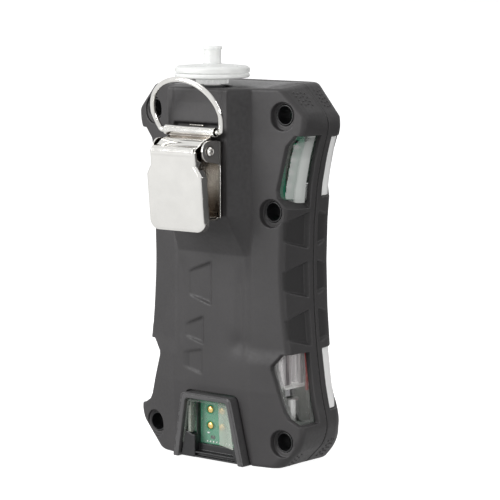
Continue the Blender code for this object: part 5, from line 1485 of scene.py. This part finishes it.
F_CAMERA, F_DIFFUSE, F_GLOSSY = 0.95, 0.12, 0.64
bm = bmesh.new()
bmesh.ops.create_grid(bm, x_segments=8, y_segments=8, size=6.0)
me = bpy.data.meshes.new("floor")
bm.to_mesh(me)
bm.free()
floor = bpy.data.objects.new("floor", me)
sc.collection.objects.link(floor)
floor.location.z = -0.0002
FM = Mat("floor_paper")
FM.link(FM.mix(FM.ramp(FM.noise(3, 2), 0.3, 0.7), (0.46, 0.46, 0.46), (0.48, 0.48, 0.48)), FM.p.inputs["Base Color"])
FM.p.inputs["Roughness"].default_value = 0.9
FM.p.inputs["Specular IOR Level"].default_value = 0.0
paper = FM.p.inputs["Base Color"].links[0].from_socket
flp = FM.node("ShaderNodeLightPath")
fpos = FM.node("ShaderNodeVectorMath", operation="DOT_PRODUCT")
FM.link(FM.node("ShaderNodeNewGeometry").outputs["Position"], fpos.inputs[0])
fpos.inputs[1].default_value = (0.64, 0.76, 0.0)
glow = FM.ramp(fpos.outputs["Value"], -0.35, -0.05, 0.1, 1.0)
near = FM.math("MULTIPLY", glow, FM.math("ADD", FM.math("MULTIPLY", flp.outputs["Is Glossy Ray"], F_GLOSSY - F_DIFFUSE), F_DIFFUSE))
dim = FM.math("MAXIMUM", FM.math("MULTIPLY", glow, 0.45), flp.outputs["Is Camera Ray"])
FM.link(FM.mix(dim, (0.02, 0.02, 0.02), paper), FM.p.inputs["Base Color"])
cam_e = FM.math("MULTIPLY", flp.outputs["Is Camera Ray"], F_CAMERA)
notcam = FM.math("SUBTRACT", 1.0, flp.outputs["Is Camera Ray"])
FM.p.inputs["Emission Color"].default_value = (1, 1, 1, 1)
FM.link(FM.math("ADD", cam_e, FM.math("MULTIPLY", notcam, near)), FM.p.inputs["Emission Strength"])
me.materials.append(FM.m)


def light(name, loc, target, size, power, size_y=None):
    l = bpy.data.lights.new(name, "AREA")
    l.energy = power
    l.shape = "RECTANGLE"
    l.size = size
    l.size_y = size_y or size
    o = bpy.data.objects.new(name, l)
    sc.collection.objects.link(o)
    o.location = loc
    o.rotation_euler = (Vector(target) - Vector(loc)).to_track_quat("-Z", "Y").to_euler()
    return o


mid = (0, 0.005, 0.07)
light("key", (0.42, 0.98, 0.50), mid, 0.6, 12.0, 0.8)
light("top", (0.1, -0.1, 0.95), mid, 0.5, 0.9)
light("rim", (-0.75, -0.60, 0.50), mid, 0.2, 1.9, 0.5)
light("side", (-1.05, 0.14, 0.08), mid, 0.3, 1.6, 0.1)

th, el, foc, X0, Y0, Z0 = radians(40), radians(7.15), 2397, -3.34, 7.27, 838
c, s, ce, se = cos(th), sin(th), cos(el), sin(el)
fwd = Vector((s * ce, -c * ce, -se))
right = Vector((-c, -s, 0))
up = Vector((s * se, -c * se, ce))
C = (Vector((0, 0, 65)) - right * X0 + up * Y0 - fwd * Z0) * 0.001
cam = bpy.data.cameras.new("camera")
cam.sensor_width = 36
cam.lens = foc / 500 * 36
cam.clip_start = 0.01
cam_ob = bpy.data.objects.new("camera", cam)
sc.collection.objects.link(cam_ob)
cam_ob.matrix_world = Matrix(((right.x, up.x, -fwd.x, C.x), (right.y, up.y, -fwd.y, C.y), (right.z, up.z, -fwd.z, C.z), (0, 0, 0, 1)))
sc.camera = cam_ob
bpy.context.view_layer.update()

# meshing leaves some vertices a few hundredths of a millimetre outside the CAD's box
for ob in [o for o in sc.objects if o.type == "MESH" and o.name not in CAD_NAMES and o is not floor]:
    n = len(ob.data.vertices)
    co = np.empty(n * 3)
    ob.data.vertices.foreach_get("co", co)
    M4 = np.array(ob.matrix_world)
    w = co.reshape(-1, 3) @ M4[:3, :3].T + M4[:3, 3]
    t = np.clip(w, CAD_BOX[0], CAD_BOX[1])
    if 1e-8 < np.abs(t - w).max() < 3e-4:
        co = (t - M4[:3, 3]) @ np.linalg.inv(M4[:3, :3]).T
        ob.data.vertices.foreach_set("co", co.ravel())
        ob.data.update()
bpy.context.view_layer.update()
